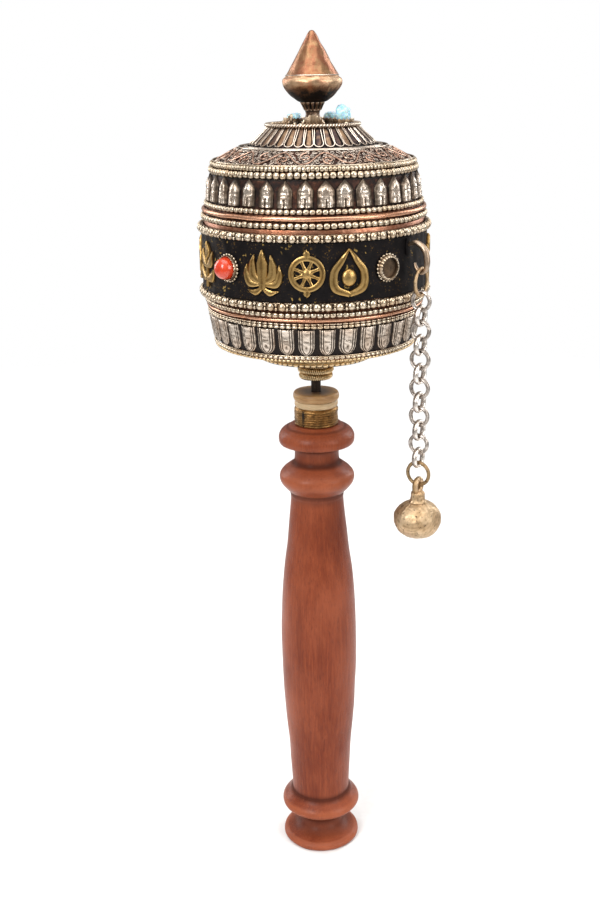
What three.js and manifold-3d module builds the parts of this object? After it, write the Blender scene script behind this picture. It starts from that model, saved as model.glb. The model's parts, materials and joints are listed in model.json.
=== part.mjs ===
// A hand-held prayer wheel: a turned wooden handle with an iron spindle, a copper drum that spins on it,
// a lidded top held down by a screwed finial, and a chain with a brass weight that swings the drum round.
// Millimetres, +Z up along the spindle, origin at the middle of the handle's flat butt.
// Azimuths are in degrees, from the front (-Y) towards the right (+X).

import * as THREE from "three";
import { mergeVertices } from "three/addons/utils/BufferGeometryUtils.js";
import Module from "manifold-3d";

const wasm = await Module();
wasm.setup();

// ---- Driving dimensions ------------------------------------------------------------------------

const DRUM_SIDES = 32; // facets round the drum, the lid and their rings
const TURNED_SIDES = 20; // facets round the handle, washers and finial
const SMALL_SIDES = 16; // facets round the spindle and the small settings
const RING_SECTION_SIDES = 4;
const WIRE_SIDES = 4;

const TOUCH = 0.1; // gap between turned pieces that rest on each other
const SEAT = 0.3; // gap under pieces that are set at an angle to the axis

const SPINDLE_RADIUS = 1.75;
const SPINDLE_TIP_RADIUS = 1.35;
const SPINDLE_FOOT = 112; // how far down the spindle is driven into the handle
const SPINDLE_SHOULDER = 262; // the drum hangs on this step
const SPINDLE_TOP = 292;
const RUNNING_GAP = 0.25; // round the spindle, in the pieces that spin on it

const HANDLE_TOP = 175.5;
const FERRULE_RADIUS = 8.0;
const FERRULE_WALL = 0.9;
const FERRULE_TOP = 182.2;
const LOWER_WASHER = { radius: 7.9, top: 184.6 };
const UPPER_WASHER = { radius: 8.35, top: 187.6 };

const SHEET = 0.8; // copper sheet of the drum and lid
const WALL_RADIUS = 37.9; // drum wall behind the painted band
const BASE_RADIUS = 33.5; // drum wall at its lower edge
const BASE_HEIGHT = 206.6;
const WALL_TOP = 250.5;
const COLLAR_RADIUS = 34.9; // the wall's upper edge, drawn in to fit inside the lid
const COLLAR_TOP = 256;
const BAND = { low: 227.6, high: 246.5, radius: 39.2 };
const HUB_RADIUS = 20; // the stepped middle of the base
const HUB_HEIGHT = 201.4;
const HUB_EDGE = { radius: 20.6, width: 1.6 }; // the beaded edge round the hub
const BOSS_RADIUS = 6.7;
const BOSS_FOOT = 192.4;
const CORE_RADIUS = 3.4;
const CORE_OVER_STEP = 6; // how far the core tube rises past the spindle's shoulder
const SCROLL_RADIUS = 32; // the roll of printed paper that fills the drum
const SCROLL_GAP = 0.45;

const LID_FOOT = 250.8;
const LID_RADIUS = 36.8; // of the lid's skirt
const SKIRT_TOP = 254.9;
const SHOULDER_RADIUS = 36.0; // above the skirt, behind the petals
const SHOULDER_TOP = 257;
const LID_BORE = 2.4;
const LEDGE = { outer: 25.2, inner: 22.4, height: 274.2 }; // the step between the lid's two cones
const CROWN = { radius: 15.9, height: 281.2 };
const UNDER_FILIGREE = 1.3; // how far the lid's sheet lies under the ledge's outer edge
const UNDER_LOTUS = 0.9; // and under the ledge's inner edge and the crown
const FINIAL = { foot: 281.9, neckTop: 288.2, rimHeight: 295.4, rimRadius: 10.2, bowlTop: 296.6, tip: 311 };
const SPINDLE_SOCKET_SPARE = 0.5; // empty thread left in the bowl above the spindle's tip

// Rings of wire or beads soldered round the drum and lid: where the middle of each runs.
// reach is the outermost radius, height is the middle, thick is the diameter of the wire or bead.
const LID_RINGS = {
  crown_ring: { reach: 16.4, height: 281.1, thick: 1.3, finish: "silver" },
  rim_braid_ring: { reach: 35.3, height: 269.3, thick: 1.2, finish: "silver" },
  rim_bead_ring: { reach: 36.0, height: 267.0, thick: 2.1, finish: "silver" },
  lid_bead_ring_upper: { reach: 37.9, height: 255.9, thick: 1.7, finish: "silver" },
  lid_copper_wire: { reach: 38.7, height: 253.9, thick: 1.7, finish: "copper" },
  lid_bead_ring_lower: { reach: 39.1, height: 251.7, thick: 1.9, finish: "silver" },
};
const DRUM_RINGS = {
  band_bead_ring_upper: { reach: 40.6, height: 247.9, thick: 2.6, finish: "silver" },
  band_bead_ring_lower: { reach: 40.6, height: 226.1, thick: 2.6, finish: "silver" },
  base_bead_ring_upper: { reach: 38.7, height: 223.2, thick: 1.6, finish: "silver" },
  base_copper_wire: { reach: 38.2, height: 221.4, thick: 1.4, finish: "copper" },
  base_bead_ring_lower: { reach: 37.9, height: 219.5, thick: 1.6, finish: "silver" },
  base_rim_ring: { reach: 36.0, height: 207.9, thick: 2.2, finish: "silver" },
};

const STONE_AZIMUTHS = [-46, 36, 129, -139]; // settings round the painted band
const EMPTY_SETTING = 36; // this setting has lost its coral
const STONE_HEIGHT = 237.4;
const CORAL_RADIUS = 3.75;
const CORAL_HEIGHT = 4.8;
const CROWN_SETTING_AZIMUTHS = [0, 72, 144, -144, -72]; // the first and the last have lost their stones
const CROWN_STONE_RADIUS = 10.6; // from the axis to the middle of each
const CROWN_SETTING = { inside: 3.2, outside: 3.8, height: 2.6 };
const CROWN_PLATE = { inner: 5.2, outer: 14.2, thick: 0.4 }; // the collars stand on it
const TURQUOISES = [
  { azimuth: 72, halfSize: [3, 2.7, 3.3] },
  { azimuth: 144, halfSize: [2.8, 2.4, 1.9] },
  { azimuth: -144, halfSize: [2.9, 2.5, 1.7] },
];

const CHAIN_AZIMUTH = 50.5; // where the chain hangs
const CHAIN_RADIUS = 44.8;
const LINK_TURN = 58; // the azimuth that the first ring faces: the chain hangs a little twisted
const LINK = { inside: 2.55, wire: 1.3 };
const HOOK_RING = { inside: 3.9, wire: 1.2 };
const WEIGHT_RING = { inside: 3.4, wire: 1.3 };
const LINK_PLAY = 0.15; // slack between one link and the next
const LINK_COUNT = 12;
const STAPLE_WIRE = 1.4;
const STAPLE_HEIGHT = 234.9; // of the lowest point of the hook
const STAPLE_PLATE = { width: 3.4, thick: 0.8, low: 240.2, high: 246 }; // soldered on the band
const WEIGHT = { ball: 8.3, ballHalfHeight: 6.9, neck: 2.35, neckLength: 2.8, eye: 1.25, eyeWire: 2.1 };

// ---- Finishes ----------------------------------------------------------------------------------

const FINISHES = {
  wood: { color: 0x9a5540, roughness: 0.42, metalness: 0 },
  horn: { color: 0xb0875d, roughness: 0.5, metalness: 0 },
  bone: { color: 0xd2b896, roughness: 0.5, metalness: 0 },
  iron: { color: 0x2b2320, roughness: 0.55, metalness: 0.8 },
  brass: { color: 0xb08d4c, roughness: 0.38, metalness: 1 },
  silver: { color: 0xb8afa0, roughness: 0.32, metalness: 1 },
  copper: { color: 0xb5765a, roughness: 0.35, metalness: 1 },
  lacquer: { color: 0x221e20, roughness: 0.6, metalness: 0 },
  coral: { color: 0xe2502a, roughness: 0.25, metalness: 0 },
  turquoise: { color: 0xa9ddf3, roughness: 0.4, metalness: 0 },
  paper: { color: 0xd9c9a3, roughness: 0.9, metalness: 0 },
};

const model = new THREE.Group();

function addPiece(name, geometry, finish) {
  const mesh = new THREE.Mesh(geometry, new THREE.MeshStandardMaterial(FINISHES[finish]));
  mesh.name = name;
  model.add(mesh);
  return mesh;
}

// ---- Shapes ------------------------------------------------------------------------------------

// Turns an outline of [radius, height] points round the Z axis. An outline that starts off the axis is
// closed on itself and makes a ring.
function turned(outline, sides) {
  const points = outline.map(([radius, height]) => new THREE.Vector2(radius, height));
  if (THREE.ShapeUtils.area(points) < 0) points.reverse();
  if (points[0].x > 0) points.push(points[0].clone());
  return new THREE.LatheGeometry(points, sides).rotateX(Math.PI / 2);
}

// A ring of rectangular section.
function collar(inside, outside, low, high, sides) {
  return turned([[inside, low], [outside, low], [outside, high], [inside, high]], sides);
}

// A wire ring round Z, given by its outermost radius.
function wireRing({ reach, height, thick }) {
  const half = thick / 2;
  const ring = new THREE.TorusGeometry(reach - half, half, RING_SECTION_SIDES, DRUM_SIDES);
  return ring.rotateZ(-Math.PI / 2).translate(0, 0, height);
}

function smoothOutline(points, steps) {
  const curve = new THREE.SplineCurve(points.map(([radius, height]) => new THREE.Vector2(radius, height)));
  return curve.getPoints(steps).map((point) => [point.x, point.y]);
}

function arc(centreRadius, centreHeight, radiusAcross, radiusUp, from, to, steps) {
  const points = [];
  for (let i = 0; i <= steps; i += 1) {
    const angle = THREE.MathUtils.degToRad(from + ((to - from) * i) / steps);
    points.push([centreRadius + radiusAcross * Math.cos(angle), centreHeight + radiusUp * Math.sin(angle)]);
  }
  return points;
}

// The unit vector that points out from the axis at an azimuth.
function outward(azimuth) {
  const angle = THREE.MathUtils.degToRad(azimuth);
  return new THREE.Vector3(Math.sin(angle), -Math.cos(angle), 0);
}

function solidOf(geometry) {
  const bare = geometry.clone();
  bare.deleteAttribute("normal");
  bare.deleteAttribute("uv");
  const merged = mergeVertices(bare, 1e-3);
  return new wasm.Manifold(
    new wasm.Mesh({
      numProp: 3,
      vertProperties: new Float32Array(merged.attributes.position.array),
      triVerts: new Uint32Array(merged.index.array),
    }),
  );
}

function joined(...geometries) {
  const solids = geometries.map(solidOf);
  const whole = solids.reduce((sum, next) => sum.add(next)).getMesh();
  const geometry = new THREE.BufferGeometry();
  geometry.setAttribute("position", new THREE.BufferAttribute(whole.vertProperties, 3));
  geometry.setIndex(new THREE.BufferAttribute(whole.triVerts, 1));
  geometry.computeVertexNormals();
  return geometry;
}

// ---- Handle, ferrule, washers and spindle --------------------------------------------------------

// From the butt up: a foot disc, a hollow, a ring, the swelling grip, a ridge, a waist and a flat top ring.
function handleOutline() {
  const foot = [[0, 0], [13.8, 0], [14.8, 0.5], [15.1, 1.4], [14.7, 2.5], [13.6, 3.2]];
  const hollow = [[11, 4.2], [8.6, 5.9], [7.5, 8.6], [8.2, 10.9]];
  const footRing = [[10.4, 12.3], [13.6, 14], [15.2, 15.6], [15.3, 17], [14.3, 18.6], [12.4, 20.4]];
  const swelling = [[11.3, 22.2], [12.2, 42], [13.7, 62], [14.5, 85]];
  const grip = smoothOutline([...swelling, [13.6, 110], [11.4, 129], [9.8, 147]], 9);
  const ridge = [[10.4, 149.9], [11.9, 151.4], [13.3, 153.3], [13.8, 155.1], [13.5, 156.7]];
  const waist = [[12.4, 158.2], [10.6, 159.6], [9, 160.6], [8.3, 161.9], [8.2, 164.6], [8.5, 167.4]];
  const underTopRing = [[9.6, 168], [12.6, 168.2], [13.5, 168.5], [13.9, 169.2]];
  const topRing = [...underTopRing, [13.9, 171.2], [13.3, 172.7], [12.2, 173.8], [10.4, 174.7]];
  const bore = SPINDLE_RADIUS + TOUCH;
  const top = [[9.2, HANDLE_TOP], [bore, HANDLE_TOP]];
  const socket = [[bore, SPINDLE_FOOT - TOUCH], [0, SPINDLE_FOOT - TOUCH]];
  return [...foot, ...hollow, ...footRing, ...grip, ...ridge, ...waist, ...topRing, ...top, ...socket];
}

// A brass cap over the handle's end, with the spindle coming up through it.
function ferruleOutline() {
  const bore = SPINDLE_RADIUS + TOUCH;
  const inside = FERRULE_RADIUS - FERRULE_WALL;
  const foot = HANDLE_TOP + TOUCH;
  const crown = FERRULE_TOP - FERRULE_WALL;
  const outside = [[inside, foot], [FERRULE_RADIUS, foot], [FERRULE_RADIUS, FERRULE_TOP]];
  return [...outside, [bore, FERRULE_TOP], [bore, crown], [inside, crown]];
}

function addHandle() {
  addPiece("handle", turned(handleOutline(), TURNED_SIDES), "wood");
  addPiece("ferrule", turned(ferruleOutline(), TURNED_SIDES), "brass");
  const bore = SPINDLE_RADIUS + TOUCH;
  const lower = collar(bore, LOWER_WASHER.radius, FERRULE_TOP + TOUCH, LOWER_WASHER.top, TURNED_SIDES);
  addPiece("bone_washer", lower, "bone");
  const upper = collar(bore, UPPER_WASHER.radius, LOWER_WASHER.top + TOUCH, UPPER_WASHER.top, TURNED_SIDES);
  addPiece("horn_washer", upper, "horn");
  const spindle = [[0, SPINDLE_FOOT], [SPINDLE_RADIUS, SPINDLE_FOOT], [SPINDLE_RADIUS, SPINDLE_SHOULDER],
    [SPINDLE_TIP_RADIUS, SPINDLE_SHOULDER], [SPINDLE_TIP_RADIUS, SPINDLE_TOP], [0, SPINDLE_TOP]];
  addPiece("spindle", turned(spindle, SMALL_SIDES), "iron");
}

// ---- Drum ----------------------------------------------------------------------------------------

function wallOutline() {
  const foot = [[BASE_RADIUS, BASE_HEIGHT], [33.6, 209.2], [36.1, 218.6]];
  const steps = [[36.1, 222.2], [36.9, 222.6], [36.9, 224.4]];
  const flare = [...foot, ...steps, [WALL_RADIUS, 226]];
  const shoulder = [[WALL_RADIUS, WALL_TOP], [COLLAR_RADIUS, WALL_TOP], [COLLAR_RADIUS, COLLAR_TOP]];
  const insideFlare = flare.map(([radius, height]) => [radius - SHEET, height]);
  const insideShoulder = shoulder.map(([radius, height]) => [radius - SHEET, height]);
  insideShoulder[0][1] -= SHEET;
  insideShoulder[1][1] -= SHEET;
  return [...flare, ...shoulder, ...insideShoulder.reverse(), ...insideFlare.reverse()];
}

// The base is a flat plate with a stepped hub, open in the middle for the core tube.
function baseOutline() {
  const outer = BASE_RADIUS - SHEET - TOUCH;
  const bore = CORE_RADIUS + TOUCH;
  const hubInside = HUB_RADIUS - SHEET;
  const top = BASE_HEIGHT + SHEET;
  const hubTop = HUB_HEIGHT + SHEET;
  const upper = [[outer, BASE_HEIGHT], [outer, top], [hubInside, top], [hubInside, hubTop], [bore, hubTop]];
  const edge = [[HUB_EDGE.radius, HUB_HEIGHT], [HUB_EDGE.radius, HUB_HEIGHT + HUB_EDGE.width]];
  return [...upper, [bore, HUB_HEIGHT], ...edge, [HUB_RADIUS, BASE_HEIGHT]];
}

// The boss is three wire rings, one above the next, each larger than the last.
function bossOutline() {
  const bore = SPINDLE_RADIUS + RUNNING_GAP;
  const top = HUB_HEIGHT - TOUCH;
  const lower = [[5.4, BOSS_FOOT], [6, 193.2], [5.4, 194]];
  const middle = [[6.5, 194.9], [5.9, 195.8]];
  const upper = [[BOSS_RADIUS, 196.8], [BOSS_RADIUS, 197.6], [6, top]];
  return [[bore, BOSS_FOOT], ...lower, ...middle, ...upper, [bore, top]];
}

// The core tube spins on the spindle; its narrower top end hangs on the spindle's shoulder.
function coreOutline() {
  const bore = SPINDLE_RADIUS + RUNNING_GAP;
  const tipBore = SPINDLE_TIP_RADIUS + RUNNING_GAP;
  const step = SPINDLE_SHOULDER + TOUCH;
  const foot = HUB_HEIGHT + TOUCH;
  const top = step + CORE_OVER_STEP;
  const outside = [[bore, foot], [CORE_RADIUS, foot], [CORE_RADIUS, top]];
  return [...outside, [tipBore, top], [tipBore, step], [bore, step]];
}

function addDrum() {
  addPiece("drum_wall", turned(wallOutline(), DRUM_SIDES), "copper");
  addPiece("base_plate", turned(baseOutline(), DRUM_SIDES), "brass");
  addPiece("boss", turned(bossOutline(), TURNED_SIDES), "brass");
  addPiece("core_tube", turned(coreOutline(), SMALL_SIDES), "brass");
  const scrollFoot = BASE_HEIGHT + SHEET + SCROLL_GAP;
  const scroll = collar(CORE_RADIUS + SCROLL_GAP, SCROLL_RADIUS, scrollFoot, COLLAR_TOP, DRUM_SIDES);
  addPiece("prayer_scroll", scroll, "paper");
  const band = collar(WALL_RADIUS + TOUCH, BAND.radius, BAND.low, BAND.high, DRUM_SIDES);
  addPiece("painted_band", band, "lacquer");
  const petals = [[35.3, 209.2], [36.1, 209.2], [37.7, 218.4], [36.8, 218.4]];
  addPiece("lower_petal_band", turned(petals, DRUM_SIDES), "silver");
  for (const [name, ring] of Object.entries(DRUM_RINGS)) addPiece(name, wireRing(ring), ring.finish);
}

// ---- Lid -----------------------------------------------------------------------------------------

// The lid is one sheet, so its inside follows its outside a sheet's thickness in.
function lidOutline() {
  const plate = CROWN.height - UNDER_LOTUS;
  const ledgeOuter = LEDGE.height - UNDER_FILIGREE;
  const ledgeInner = LEDGE.height - UNDER_LOTUS;
  const skirt = [[LID_RADIUS, LID_FOOT], [LID_RADIUS, SKIRT_TOP]];
  const shoulder = [[SHOULDER_RADIUS, SKIRT_TOP], [SHOULDER_RADIUS, SHOULDER_TOP]];
  const rim = [[35, 265.3], [33.7, 266.3], [33.4, 268.4]];
  const cones = [[24.4, ledgeOuter], [21.5, ledgeInner], [14.5, plate], [LID_BORE, plate]];
  const skirtInside = skirt.map(([radius, height]) => [radius - SHEET, height]);
  skirtInside[1][1] -= SHEET;
  const shoulderInside = shoulder.map(([radius, height]) => [radius - SHEET, height]);
  shoulderInside[0][1] -= SHEET;
  const rimInside = [[34.3, 264.7], [32.9, 265.8], [32.8, 267.8]];
  const conesInside = [[24.2, ledgeOuter], [21.1, ledgeInner], [14.1, plate], [LID_BORE, plate]];
  for (const point of conesInside) point[1] -= SHEET;
  const outside = [...skirt, ...shoulder, ...rim, ...cones];
  const inside = [...skirtInside, ...shoulderInside, ...rimInside, ...conesInside];
  return [...outside, ...inside.reverse()];
}

function addLid() {
  addPiece("lid_shell", turned(lidOutline(), DRUM_SIDES), "copper");
  const petals = [[36.95, 256.9], [37.75, 256.9], [36.4, 265.7], [35.75, 265.7]];
  addPiece("upper_petal_band", turned(petals, DRUM_SIDES), "silver");
  const ledge = [[LEDGE.outer, LEDGE.height], [LEDGE.inner, LEDGE.height]];
  const underLedge = [[LEDGE.inner, 273.5], [24.5, 273.3]];
  const filigree = [[33.6, 269.0], [34.1, 269.5], ...ledge, ...underLedge];
  addPiece("filigree_panel", turned(filigree, DRUM_SIDES), "silver");
  const lotus = [[22.2, 274.3], [21.5, 273.8], [14.8, 280.6], [15.6, 280.3]];
  addPiece("lotus_panel", turned(lotus, DRUM_SIDES), "brass");
  for (const [name, ring] of Object.entries(LID_RINGS)) addPiece(name, wireRing(ring), ring.finish);
}

// ---- Finial --------------------------------------------------------------------------------------

function addFinial() {
  const { foot, neckTop, rimHeight, rimRadius, bowlTop, tip } = FINIAL;
  const bore = SPINDLE_TIP_RADIUS + TOUCH;
  const bell = [[3.2, foot], [2.5, 283.2], [2.4, 285], [3.3, 286.8], [4.3, neckTop]];
  const neck = [[bore, foot], ...bell, [bore, neckTop]];
  addPiece("finial_neck", turned(neck, SMALL_SIDES), "brass");
  const socket = SPINDLE_TOP + SPINDLE_SOCKET_SPARE;
  const bowlFoot = neckTop + TOUCH;
  const flare = [[bore, bowlFoot], [4.4, bowlFoot], [6.8, 290], [8.8, 292], [rimRadius, 294.4]];
  const rim = [[rimRadius, rimHeight], [8.9, bowlTop], [0, bowlTop]];
  const bowl = [...flare, ...rim, [0, socket], [bore, socket]];
  addPiece("finial_bowl", turned(bowl, TURNED_SIDES), "copper");
  const coneFoot = bowlTop + TOUCH;
  const cone = [[0, coneFoot], [8.85, coneFoot], [1.5, 309.8], [0.9, 310.7], [0, tip]];
  addPiece("finial_cone", turned(cone, TURNED_SIDES), "copper");
}

// ---- Stones and their settings -------------------------------------------------------------------

// Places a piece built along local +Z on a surface, facing outward at an azimuth.
function faceOutward(mesh, azimuth, radius, height) {
  const direction = outward(azimuth);
  mesh.position.copy(direction).multiplyScalar(radius).setZ(height);
  mesh.quaternion.setFromUnitVectors(new THREE.Vector3(0, 0, 1), direction);
}

function addBandStones() {
  const wall = 0.7;
  const depth = 1.7;
  const floor = 0.4;
  const girdle = 1.4;
  const inside = CORAL_RADIUS + SEAT;
  const outside = inside + wall;
  const cup = [[0, 0], [outside, 0], [outside, depth], [inside, depth], [inside, floor], [0, floor]];
  const cap = arc(0, girdle, CORAL_RADIUS, CORAL_HEIGHT - girdle, 30, 90, 2);
  const dome = [[0, 0], [CORAL_RADIUS, 0], [CORAL_RADIUS, girdle], ...cap];
  STONE_AZIMUTHS.forEach((azimuth, i) => {
    const setting = addPiece(`band_setting_${i + 1}`, turned(cup, SMALL_SIDES), "silver");
    faceOutward(setting, azimuth, BAND.radius + SEAT, STONE_HEIGHT);
    if (azimuth === EMPTY_SETTING) return;
    const coral = addPiece(`coral_${i + 1}`, turned(dome, SMALL_SIDES), "coral");
    faceOutward(coral, azimuth, BAND.radius + 2 * SEAT + floor, STONE_HEIGHT);
  });
}

// Five collars on a plate round the finial's neck, three of them with a rough turquoise chip.
function addCrownStones() {
  const floor = CROWN.height - UNDER_LOTUS + SEAT;
  const { inner, outer, thick } = CROWN_PLATE;
  const { inside, outside, height } = CROWN_SETTING;
  const spot = (azimuth) => outward(azimuth).multiplyScalar(CROWN_STONE_RADIUS);
  const collars = CROWN_SETTING_AZIMUTHS.map((azimuth) => {
    const { x, y } = spot(azimuth);
    return collar(inside, outside, 0, height, SMALL_SIDES).translate(x, y, 0);
  });
  const settings = joined(collar(inner, outer, 0, thick, DRUM_SIDES), ...collars);
  addPiece("crown_settings", settings, "silver").position.setZ(floor);
  TURQUOISES.forEach(({ azimuth, halfSize }, i) => {
    const chip = new THREE.DodecahedronGeometry(1, 0).scale(...halfSize);
    chip.computeBoundingBox();
    const stone = addPiece(`turquoise_${i + 1}`, chip, "turquoise");
    stone.position.copy(spot(azimuth)).setZ(floor + thick + SEAT - chip.boundingBox.min.z);
  });
}

// ---- Chain and weight ----------------------------------------------------------------------------

const chainSpot = outward(CHAIN_AZIMUTH).multiplyScalar(CHAIN_RADIUS);
const linkOut = outward(LINK_TURN);
const linkSide = new THREE.Vector3(-linkOut.y, linkOut.x, 0);

// A closed ring of round wire that hangs in an upright plane; normal is that plane's normal.
function addChainRing(name, { inside, wire }, height, normal, finish) {
  const geometry = new THREE.TorusGeometry(inside + wire / 2, wire / 2, WIRE_SIDES, SMALL_SIDES);
  const mesh = addPiece(name, geometry, finish);
  mesh.position.copy(chainSpot).setZ(height);
  mesh.quaternion.setFromUnitVectors(new THREE.Vector3(0, 0, 1), normal);
}

// A small brass plate on the band, with a hook that springs from its top, bows out and down, and turns up
// again through the first ring.
function stapleGeometry() {
  const { width, thick, low, high } = STAPLE_PLATE;
  const middle = BAND.radius + SEAT + thick / 2;
  const plate = new THREE.BoxGeometry(width, thick, high - low);
  plate.translate(0, -middle, (low + high) / 2);
  const reach = CHAIN_RADIUS;
  const bow = [[middle, 243.8], [reach - 2, 244.5], [reach + 1.2, 242.4], [reach + 2.2, 239]];
  const tip = [[reach + 1.9, 236.4], [reach, STAPLE_HEIGHT], [reach - 1.9, 236], [reach - 2.6, 237.8]];
  const points = [...bow, ...tip].map(([radius, height]) => new THREE.Vector3(0, -radius, height));
  const path = new THREE.CatmullRomCurve3(points);
  const section = new THREE.Shape();
  section.absarc(0, 0, STAPLE_WIRE / 2, 0, 2 * Math.PI);
  const hook = new THREE.ExtrudeGeometry(section, {
    steps: 18,
    curveSegments: 3,
    bevelEnabled: false,
    extrudePath: path,
  });
  return joined(plate, hook).rotateZ(THREE.MathUtils.degToRad(CHAIN_AZIMUTH));
}

function weightGeometry() {
  const { ball, ballHalfHeight, neck, neckLength, eye, eyeWire } = WEIGHT;
  const neckFoot = ballHalfHeight * Math.sqrt(1 - (neck / ball) ** 2);
  const round = arc(0, 0, ball, ballHalfHeight, -90, 70, 8);
  const top = neckFoot + neckLength;
  const tip = top + 0.7;
  const shank = [[neck, neckFoot], [neck * 0.92, top], [neck * 0.6, tip], [0, tip]];
  const body = turned([...round, ...shank], TURNED_SIDES);
  const loop = new THREE.TorusGeometry(eye + eyeWire / 2, eyeWire / 2, WIRE_SIDES, SMALL_SIDES);
  loop.rotateX(Math.PI / 2).rotateZ(THREE.MathUtils.degToRad(LINK_TURN));
  const eyeHeight = top + 0.5 + eye + eyeWire / 2;
  loop.translate(0, 0, eyeHeight);
  return { geometry: joined(body, loop), eyeHeight };
}

// The rings hang one inside the next, each a quarter turn from the last. A ring hangs on the one above
// with its own inside top just above the inside bottom of that one.
function addChain() {
  addPiece("chain_staple", stapleGeometry(), "brass");
  const rings = [{ name: "hook_ring", size: HOOK_RING, finish: "brass" }];
  for (let i = 1; i <= LINK_COUNT; i += 1) {
    rings.push({ name: `chain_link_${String(i).padStart(2, "0")}`, size: LINK, finish: "silver" });
  }
  rings.push({ name: "weight_ring", size: WEIGHT_RING, finish: "brass" });
  let support = STAPLE_HEIGHT + STAPLE_WIRE / 2;
  rings.forEach(({ name, size, finish }, i) => {
    const height = support + LINK_PLAY - size.inside;
    addChainRing(name, size, height, i % 2 === 0 ? linkOut : linkSide, finish);
    support = height - size.inside;
  });
  const { geometry, eyeHeight } = weightGeometry();
  const weight = addPiece("weight", geometry, "brass");
  weight.position.copy(chainSpot).setZ(support + LINK_PLAY - WEIGHT.eye - eyeHeight);
}

addHandle();
addDrum();
addLid();
addFinial();
addBandStones();
addCrownStones();
addChain();

export default model;
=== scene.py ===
"""The looks of a hand-held prayer wheel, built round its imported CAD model.

Shapes are worked out in millimetres in the model's own frame: +Z up the spindle, -Y the front, +X the right.
Azimuths are in degrees from the front towards the right. Where a piece goes comes from the CAD node it stands
for, and an outline that follows the CAD's own is written out in millimetres.
"""

import json
import math
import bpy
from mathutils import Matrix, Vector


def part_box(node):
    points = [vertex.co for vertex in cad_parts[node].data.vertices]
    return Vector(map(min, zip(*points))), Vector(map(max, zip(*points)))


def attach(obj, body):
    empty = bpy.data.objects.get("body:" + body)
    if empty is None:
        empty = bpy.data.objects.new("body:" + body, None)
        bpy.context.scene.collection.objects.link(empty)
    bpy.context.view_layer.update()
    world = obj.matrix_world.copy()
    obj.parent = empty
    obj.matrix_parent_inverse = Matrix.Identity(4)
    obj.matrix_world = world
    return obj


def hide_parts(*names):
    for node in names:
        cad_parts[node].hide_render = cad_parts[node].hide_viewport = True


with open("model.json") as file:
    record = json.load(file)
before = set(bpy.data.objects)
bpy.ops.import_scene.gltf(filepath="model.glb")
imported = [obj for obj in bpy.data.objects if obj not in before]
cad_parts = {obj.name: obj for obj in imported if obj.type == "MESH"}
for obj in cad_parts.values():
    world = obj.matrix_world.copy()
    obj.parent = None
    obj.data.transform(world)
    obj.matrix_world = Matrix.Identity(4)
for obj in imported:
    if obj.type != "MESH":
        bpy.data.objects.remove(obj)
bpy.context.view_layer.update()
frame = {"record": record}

import zlib

import bpy
import numpy as np
from mathutils import Matrix, Vector

MM = 0.001
RECORD = frame["record"]
BODY_OF = {node: body for body, nodes in RECORD["behaviour"]["bodies"].items() for node in nodes}

# ---- Driving dimensions --------------------------------------------------------------------------

ROUND_FINE = 192  # columns round the drum and lid
ROUND_TURNED = 96  # columns round the handle, washers and finial
WIRE_SIDES = 8

UPPER_PETALS = 35
LOWER_PETALS = 33
LOTUS_PETALS = 38
SCROLLS = 88  # small spirals in each row of the lid's filigree
VINE_WAVES = 13  # bends of the large vine that runs through them

BEADS = {
    "rim_bead_ring": 97,
    "lid_bead_ring_upper": 113,
    "lid_bead_ring_lower": 104,
    "base_bead_ring_upper": 113,
    "base_bead_ring_lower": 113,
}
BIG_BEADS = 65  # in each of the two large rings beside the painted band

SPINDLE_BORE = 1.9  # radius of the holes in the ferrule and the washers
FINIAL_BORE = 1.45
SHOULDER = 262  # height on the spindle that the drum hangs from
SPLICE = -38  # azimuth of the lower copper wire's splice and the ferrule's seam
LID_SPLICE = 141

CAMERA_PLACE = (-6.17, -410, 300.7)
CAMERA_PITCH = 18.3  # degrees down
CAMERA_ROLL = 0.965
CAMERA_LENS = 46.8

STONE_AZIMUTHS = {1: -46, 2: 36, 3: 129, 4: -139}
EMPTY_SETTING = 2
CROWN_SETTINGS = [0, 72, 144, -144, -72]  # azimuths; the first and the last have lost their stones
CROWN_RADIUS = 10.6
CHAIN_AZIMUTH = 50.5
LINK_TURN = 58  # the azimuth that the hook's ring faces
LINK_COUNT = 12
LINK_WIRE = 1.3
LINK_FLATNESS = 1.5  # how many times as wide as thick a link's wire is
HOOK_RING_WIRE = 1.2
WEIGHT_RING_WIRE = 1.3


def dice_for(name):
    """A random generator that is the same for the same name on every run."""
    return np.random.default_rng(zlib.crc32(name.encode()))


def lumps(points, size, name, waves=12):
    """A smooth random height, mostly from -1 to 1, at each point, with bumps about size across."""
    dice = dice_for(name)
    ways = dice.normal(size=(waves, 3))
    ways /= np.linalg.norm(ways, axis=1)[:, None]
    ways *= (2 * math.pi / size * dice.uniform(0.55, 1.3, waves))[:, None]
    phases = dice.uniform(0, 2 * math.pi, waves)
    return np.sin(points @ ways.T + phases).sum(1) / math.sqrt(waves)


def step(low, high, value):
    """0 below low, 1 above high, and a smooth rise between them."""
    share = np.clip((value - low) / (high - low), 0, 1)
    return share * share * (3 - 2 * share)


def outward(azimuth):
    """The unit vector, or one for each azimuth, that points out from the axis."""
    angle = np.radians(azimuth)
    return np.stack([np.sin(angle), -np.cos(angle), np.zeros_like(angle)], -1)


def spin(radius, azimuth, height):
    """Points from cylinder coordinates, with the azimuth in radians."""
    return np.stack([radius * np.sin(azimuth), -radius * np.cos(azimuth), height + 0 * azimuth], -1)


# ---- Shapes --------------------------------------------------------------------------------------


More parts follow.
